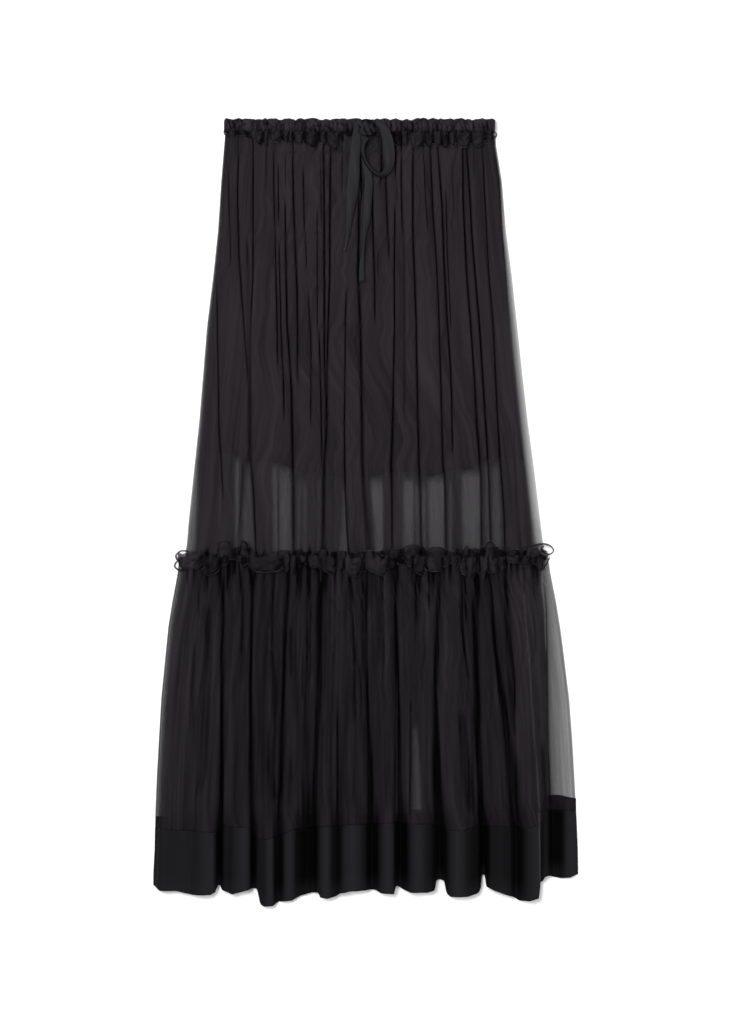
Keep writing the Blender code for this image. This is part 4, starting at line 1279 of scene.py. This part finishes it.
# Each row is one stretch of frill that stands on edge where it turns a side: a loose loop seen from above.
SIDE_CURLS = (
    ((206, -47), (215, -42), (228, -40.5), (235.5, -44), (238, -49.5), (233, -53.5), (226, -51), (223, -46)),
    ((226, -43), (222, -46), (224, -50), (229, -49)),
    ((233, -58), (229, -66), (223, -74)),
    ((-225, -49.5), (-234, -49.5), (-240, -55), (-238, -61), (-231, -62)),
    ((-231, -59), (-240, -64), (-241.5, -69.5), (-235, -73.5), (-228, -70)),
)


CURL_WALL = 0.5


def side_curl(name, places, low, tall, lean, node="tier_frill_front"):
    """A stretch of frill on edge along the places: its lower edge at low, as tall as tall, and leaning."""
    line = soft_line(places, 6)
    run = np.gradient(line, axis=0)
    run /= np.linalg.norm(run, axis=1)[:, None]
    outward = np.stack([run[:, 1], -run[:, 0]], axis=1)
    across, along, height = [], [], []
    for t in np.linspace(0, 1, 5):
        place = line + outward * lean * (t - 0.5)
        across.append(place[:, 0])
        along.append(place[:, 1])
        height.append(low + tall * t + 0.6 * np.sin(np.arange(len(line)) / 4.0))
    flat = np.full((5, len(line)), 7.0)
    across, along, height = (np.array(part) for part in (across, along, height))
    return cloth_object(name, across, along, height, flat, CURL_WALL, chiffon, node, "chiffon", flat * 0.04)


tier_curls = [
    side_curl(f"tier_frill_curl_{number + 1}", curl, low=3.5, tall=4.5, lean=1.7)
    for number, curl in enumerate(SIDE_CURLS)
]

lower_tucks, upper_tucks = tucks_under(LOWER_LOBES, 61), tucks_under(UPPER_LOBES, 71)
frill_piece(
    "tier_frill_front",
    (
        frill_half(LOWER_LOBES, (-238, 231), SEAM - 0.5, DOWNWARDS, FRILL_REST, between=2.0),
        frill_half(UPPER_LOBES, (-200, 229), SEAM + 0.5, UPWARDS, FRILL_REST - 0.6, between=-0.5),
        frill_half(lower_tucks, (-210, 229), SEAM - 0.5, DOWNWARDS, FRILL_REST - 1.6, between=1.0, dim=0.55),
        frill_half(upper_tucks, (-190, 226), SEAM + 0.5, UPWARDS, FRILL_REST - 2.2, between=-0.5, dim=0.55),
    ),
    "tier_frill_front",
    ((0.75, 0.02), (0.7, 0.012), (0.6, 0.017), (0.6, 0.012)),
    tier_curls,
    0.5,
)


PLEATS = 31


def flat_frill(name, node, sides, top, foot):
    """A frill of the back, pressed flat in small pleats under the weight of the skirt."""
    down = np.linspace(0, 1, 6)[:, None]
    columns = 260
    t = np.linspace(0, 1, columns)
    left, right = sides
    waves = np.sin(2 * np.pi * PLEATS * t + 1.7 * np.sin(2 * np.pi * 3.1 * t))
    across = left + (right - left) * t + 1.6 * np.sin(2 * np.pi * PLEATS * t + 1.2) + 0 * down
    along = top + (foot - top) * down + 1.5 * waves * (down - 0.5)
    height = 0.45 + 0.28 * waves + 0 * down
    flat = np.full((6, columns), 1.6)
    piece = cloth_object(name, across, along, height, flat, CHIFFON_WALL, chiffon, node, "chiffon")


flat_frill("tier_frill_back_cloth", "tier_frill_back", (-228, 226), top=SEAM + 7, foot=SEAM - 17)


# ---- waist casing and waist frill ----
# The top of the skirt is turned into a narrow casing, drawn up on elastic into small uneven puffs. Under
# it a single frill stands free, and is pressed down behind the tie.

low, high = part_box("waist_casing_front")
CASING_FOOT, CASING_TOP, CASING_LOW, CASING_HIGH = low.y / MM, high.y / MM, low.z / MM, high.z / MM
CASING_SIDES = (low.x / MM, high.x / MM)
PUFF_PITCH, FINE_PITCH = 15.5, 5.2


def puffs(place, pitch, seed):
    """1 on a puff, falling to 0 in the creases between puffs, which lie unevenly about a pitch apart."""
    turn = place / pitch + 0.34 * wander(place / pitch * 0.55, seed) + 0.2 * wander(place / pitch * 1.3, seed)
    return abs(math.sin(math.pi * turn)) ** 0.6


def gathered_roll(name, node, low, high):
    """One half of the casing: a flattened roll of gathered chiffon from its foot to its top."""
    columns, around = 520, 28
    middle, reach, tall = (CASING_FOOT + CASING_TOP) / 2, (CASING_TOP - CASING_FOOT) / 2, high - low
    grids = np.zeros((around + 1, columns, 4))
    for column in range(columns):
        t = column / (columns - 1)
        x = CASING_SIDES[0] + (CASING_SIDES[1] - CASING_SIDES[0]) * t
        puff = puffs(x, PUFF_PITCH, 3)
        shut = math.sqrt(min(1.0, min(t, 1 - t) * 70 + 0.45))
        for step in range(around + 1):
            angle = 2 * math.pi * step / around
            y, z = math.cos(angle), math.sin(angle)
            fine = puffs(x + 2.4 * wander(y * 1.1, 33) + 1.2 * y, FINE_PITCH, 8)
            body = 0.6 + 0.16 * puff + 0.07 * fine + 0.1 * wander(x / 7.3, 35)
            flat = (0.62 + 0.26 * puff + 0.12 * fine) if z > 0 else 0.25
            rise = abs(z) ** 0.7 * (1 if z > 0 else -1)
            grids[step, column, 0] = x + 1.6 * y * wander(x / 9, 5)
            grids[step, column, 1] = middle + reach * y * (body * shut if y > 0 else 1.0)
            grids[step, column, 2] = max(low, low + 0.25 * tall + 0.75 * tall * rise * flat * shut)
            lines = 0.8 * crinkle(x, 4 * y, 8.0, 3) + 0.7 * crinkle(x, 5 * y, 5.0, 5)
            grids[step, column, 2] -= 0.5 * lines if z > 0 else 0
            # Painted shade: darker on the lower side, in the creases between puffs and in the crinkle lines,
            # with painted light along the top side.
            foot_shade_top_light = 0.4 * max(0.0, -y - 0.25) - 0.7 * max(0.0, y - 0.3)
            between_puffs = 0.65 * (1 - puff) ** 1.3 + 0.9 * (1 - fine) ** 1.5
            grids[step, column, 3] = between_puffs + 1.0 * lines + foot_shade_top_light - 0.44
    piece = cloth_object(
        name, grids[:, :, 0], grids[:, :, 1], grids[:, :, 2], np.full((around + 1, columns), 6.0),
        CHIFFON_WALL, chiffon, node, "chiffon", np.clip(grids[:, :, 3], -0.3, 1),
    )


gathered_roll("waist_casing_front_cloth", "waist_casing_front", CASING_LOW, CASING_HIGH)
gathered_roll("waist_casing_back_cloth", "waist_casing_back", low=0.3, high=4.4)

WAIST_LOBES = [Lobe(*row) for row in (
    (-174, -163, 6, 3.0, 0.0), (-161, -148, 6, 3.0, 0.2), (-146, -129, 16, 3.5, 0.9),
    (-128, -123, 19, 4.5, 0.0), (-121, -106, 15, 4.0, 0.3), (-104, -98, 15, 4.5, 0.0),
    (-97, -92, 17, 3.5, 0.0), (-90, -79, 16, 4.0, -0.1), (-77, -59, 21, 4.5, 0.4), (-57, -50, 17, 5.0, 0.0),
    (-49, -33, 24, 4.5, 0.2), (-27, -5, 8, 2.0, 0.0), (-2, 33, 8, 2.0, 0.0), (36, 45, 20, 4.0, 0.2),
    (46, 54, 19, 4.5, 0.0), (55, 74, 21.5, 4.5, 0.1), (75, 85, 22, 4.0, 0.0), (86, 96, 19.5, 4.5, 0.0),
    (97, 105, 23, 4.5, 0.0), (106, 114, 20.5, 4.0, 0.0), (115, 133, 22, 4.0, -0.1),
    (134, 151, 20, 4.0, -0.2), (152, 161, 12, 3.0, 0.0),
)]
WAIST_FRILL_REST = 8.0
WAIST_TUCKS_REST = WAIST_FRILL_REST - 1.4
flat_frill("waist_frill_back_cloth", "waist_frill_back", (-179, 164), CASING_FOOT, CASING_FOOT - 16)
WAIST_CURLS = (
    ((-172, 488), (-178, 484), (-178.5, 479), (-174, 476), (-168, 478)),
    ((158, 482), (164, 481), (166, 477), (161, 474), (156, 477)),
)
waist_curls = [
    side_curl(f"waist_frill_curl_{number + 1}", curl, 4.0, 3.5, 1.6, node="waist_frill_front")
    for number, curl in enumerate(WAIST_CURLS)
]
stitches = CASING_FOOT + 1.5
waist_tucks = tucks_under(WAIST_LOBES, 81)
frill_piece(
    "waist_frill_front",
    (
        frill_half(WAIST_LOBES, (-178, 163), stitches, DOWNWARDS, WAIST_FRILL_REST, between=0.8),
        frill_half(waist_tucks, (-160, 158), stitches, DOWNWARDS, WAIST_TUCKS_REST, between=1.5, dim=0.5),
    ),
    "waist_frill_front",
    ((0.6, 0.018), (0.5, 0.0145)),
    waist_curls,
    0.3,
)


# ---- drawstring ----
# A flat ribbon of the chiffon, folded double along its length, comes out of the casing at the middle and
# is tied in half a bow: a pleated knot, one loop and two tails, one cut square and one frayed.

# Each row is a place on the middle of the ribbon, across and along the skirt, its width there, and how far
# it is turned on its edge, in degrees.
LEFT_TAIL = (
    (-8.5, 494, 7, 0), (-10.2, 482, 10, 0), (-12, 465, 12, 3), (-13.7, 446, 12.8, 3), (-14.9, 424, 14.6, 2),
    (-16.9, 402, 14, -3), (-19, 385, 11, -6), (-20.9, 366, 7.6, -8), (-22.2, 350, 5, -8),
    (-24.6, 338, 3.2, 0), (-25.4, 333, 3.0, 0), (-27, 330, 5.5, 0),
)
RIGHT_TAIL = (
    (-1, 484, 8, 0), (-3.5, 462, 5, 0), (-2, 445, 6, 3), (3.6, 427, 9, 4), (4.2, 412, 10.2, 3),
    (3, 395, 10.2, -3), (1.4, 372, 9.4, -5), (-0.8, 350, 4.8, -14), (-2.6, 330, 3.9, -14),
    (-4.5, 312, 6.2, -6), (-4.6, 291, 7.2, 0),
)
LOOP = (
    (13, 494, 7, 5), (21.5, 486, 10, 4), (26.6, 474, 13.5, 3), (28.9, 460, 15, 2), (29.4, 447, 15, -3),
    (29, 437.5, 12.5, -10), (26, 429.8, 9.5, -18), (19.6, 425.4, 7, -30), (11.8, 427.6, 5.6, -35),
    (4, 435.6, 5, -35), (-1.4, 445.2, 5, -32), (-4.4, 455, 5.4, -25), (-3, 465, 6, -15), (2, 473, 6, -6),
)
RIBBON_WALL = 0.4
# How high above the floor the middle of the ribbon runs below the waist frill and at it, and where it
# starts to climb from one to the other and over what length.
ON_FOLDS, ON_FRILL = 13.4, 15.4
CLIMB_FROM, CLIMB = 440, 19
CROSSING = 1.6  # how much higher one stretch runs where it passes over another


def ribbon_finish():
    """The chiffon of the ribbon: doubled, so that nothing shows through it."""
    material, shader, yarn = new_finish(
        "black_chiffon_ribbon", (0.0084, 0.0078, 0.0092), roughness=0.6, shine=0.06
    )
    pebble = grain(yarn, 1100, 900)
    cloudy = grain(yarn, 90, 30)
    colour = shaded(yarn, (0.0080, 0.0075, 0.0088), (0.0152, 0.0143, 0.0164), pebble * 0.4 + cloudy * 0.6)
    yarn.put(shader.inputs["Base Color"], in_creases(yarn, colour))
    yarn.put(shader.inputs["Normal"], raised(yarn, pebble, 0.3, 0.0003))
    return material


ribbon_cloth = ribbon_finish()


def ribbon_line(places, lift):
    """The smooth middle line of a stretch of ribbon, with its width and its turn: one row a step."""
    plan = soft_line(places, 7)
    share = np.linspace(0, 1, len(plan))
    bed = ON_FOLDS + (ON_FRILL - ON_FOLDS) * smooth((plan[:, 1] - CLIMB_FROM) / CLIMB)
    return plan, bed + np.array([lift(t) for t in share])


def ribbon(name, places, lift, node, dim_side=1):
    """One stretch of ribbon. dim_side, 1 or -1, is its darker side: the other gleams."""
    plan, bed = ribbon_line(places, lift)
    run = np.gradient(plan[:, :2], axis=0)
    run /= np.linalg.norm(run, axis=1)[:, None]
    aside = np.stack([-run[:, 1], run[:, 0]], axis=1)
    turn = np.radians(plan[:, 3])
    across, along, height, dark = [], [], [], []
    columns = (-1, -0.97, -0.88, -0.72, -0.5, -0.25, 0, 0.25, 0.5, 0.72, 0.88, 0.97, 1)
    for s in columns:
        half = plan[:, 2] / 2 * s
        arch = 0.2 * (1 - s**4) + 0.16 * math.sin(4.1 * s + 1)
        # Painted light and shade across the ribbon: shade along the dim side's edge (outline), pale and dark
        # bands along it (facet_shade), shade where it is turned on edge, and a painted gleam along the other
        # edge.
        outline = 0.9 * abs(s) ** (7 if s * dim_side > 0 else 14)
        gleam = 0.45 * math.exp(-(((s * dim_side + 0.86) / 0.08) ** 2))
        facet_shade = 0.17 * np.sin(plan[:, 1] / 9 + 2.6 * s) * (1 - abs(s))
        turned = 0.75 * smooth(np.abs(plan[:, 3]) / 32) * smooth(0.5 + s)
        dark.append(outline + 0.04 + facet_shade + turned - gleam)
        across.append(plan[:, 0] + aside[:, 0] * half * np.cos(turn))
        along.append(plan[:, 1] + aside[:, 1] * half * np.cos(turn))
        height.append(bed + arch + half * np.sin(turn) + np.abs(plan[:, 2] / 2 * np.sin(turn)))
    piece = cloth_object(
        name, np.array(across).T, np.array(along).T, np.array(height).T,
        np.full((len(plan), len(columns)), 5.0), RIBBON_WALL, ribbon_cloth, node, "ribbon",
        np.clip(np.array(dark).T, -0.4, 1),
    )
    path = np.column_stack([plan[:, 0], plan[:, 1], bed]) * MM
    length = float(np.linalg.norm(np.diff(path, axis=0), axis=1).sum())


ribbon("tail_right_ribbon", RIGHT_TAIL, lambda t: 0.0, "drawstring_tail_right")
ribbon(
    "tail_left_ribbon",
    LEFT_TAIL,
    lambda t: CROSSING * float(smooth((0.5 - t) / 0.2)),
    "drawstring_tail_left",
)
ribbon(
    "loop_ribbon", LOOP, lambda t: CROSSING * float(smooth((t - 0.2) / 0.3)), "drawstring_loop", -1
)


def build_knot():
    """The knot: a small barrel of ribbon, pulled into upright pleats."""
    low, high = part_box("drawstring_knot")
    middle, size = (low + high) / 2, (high - low) / 2
    knot = bmesh.new()
    bmesh.ops.create_uvsphere(knot, u_segments=96, v_segments=48, radius=1.0)
    dim = knot.verts.layers.float.new("shade")
    for vertex in knot.verts:
        angle = math.atan2(vertex.co.y, vertex.co.x)
        level = vertex.co.z
        waist = 1 - 0.22 * math.exp(-((vertex.co.y / 0.35) ** 2))
        pleats = math.sin(9 * vertex.co.x + 2.2 * vertex.co.y + 2.5 * wander(vertex.co.y * 1.2, 27))
        pleat = 0.13 * pleats * (0.4 + 0.6 * max(level, 0))
        crumple = 0.12 * wander(angle * 1.6 + level, 12)
        # The shade attribute: painted shade in the pleats' hollows and on the right side, with random
        # blotches of tone.
        blotch = 0.6 * wander(vertex.co.y * 2.3 + vertex.co.x, 29)
        tone = 0.5 - 0.6 * pleats + blotch + 0.5 * max(vertex.co.x, 0)
        vertex[dim] = min(1.0, max(0.0, tone))
        vertex.co = Vector(
            (
                middle.x - MM + size.x * 0.98 * vertex.co.x * waist * (1 + crumple),
                middle.y - MM + size.y * vertex.co.y * (1 + crumple),
                middle.z + size.z * (vertex.co.z * 0.9 + pleat),
            )
        )
    for face in knot.faces:
        face.smooth = True
    weave = knot.loops.layers.uv.new("cloth")
    for face in knot.faces:
        for loop in face.loops:
            loop[weave].uv = (loop.vert.co.x, loop.vert.co.y)
    piece_of(knot, "knot_ribbon", ribbon_cloth, "ribbon", "drawstring_knot")


build_knot()
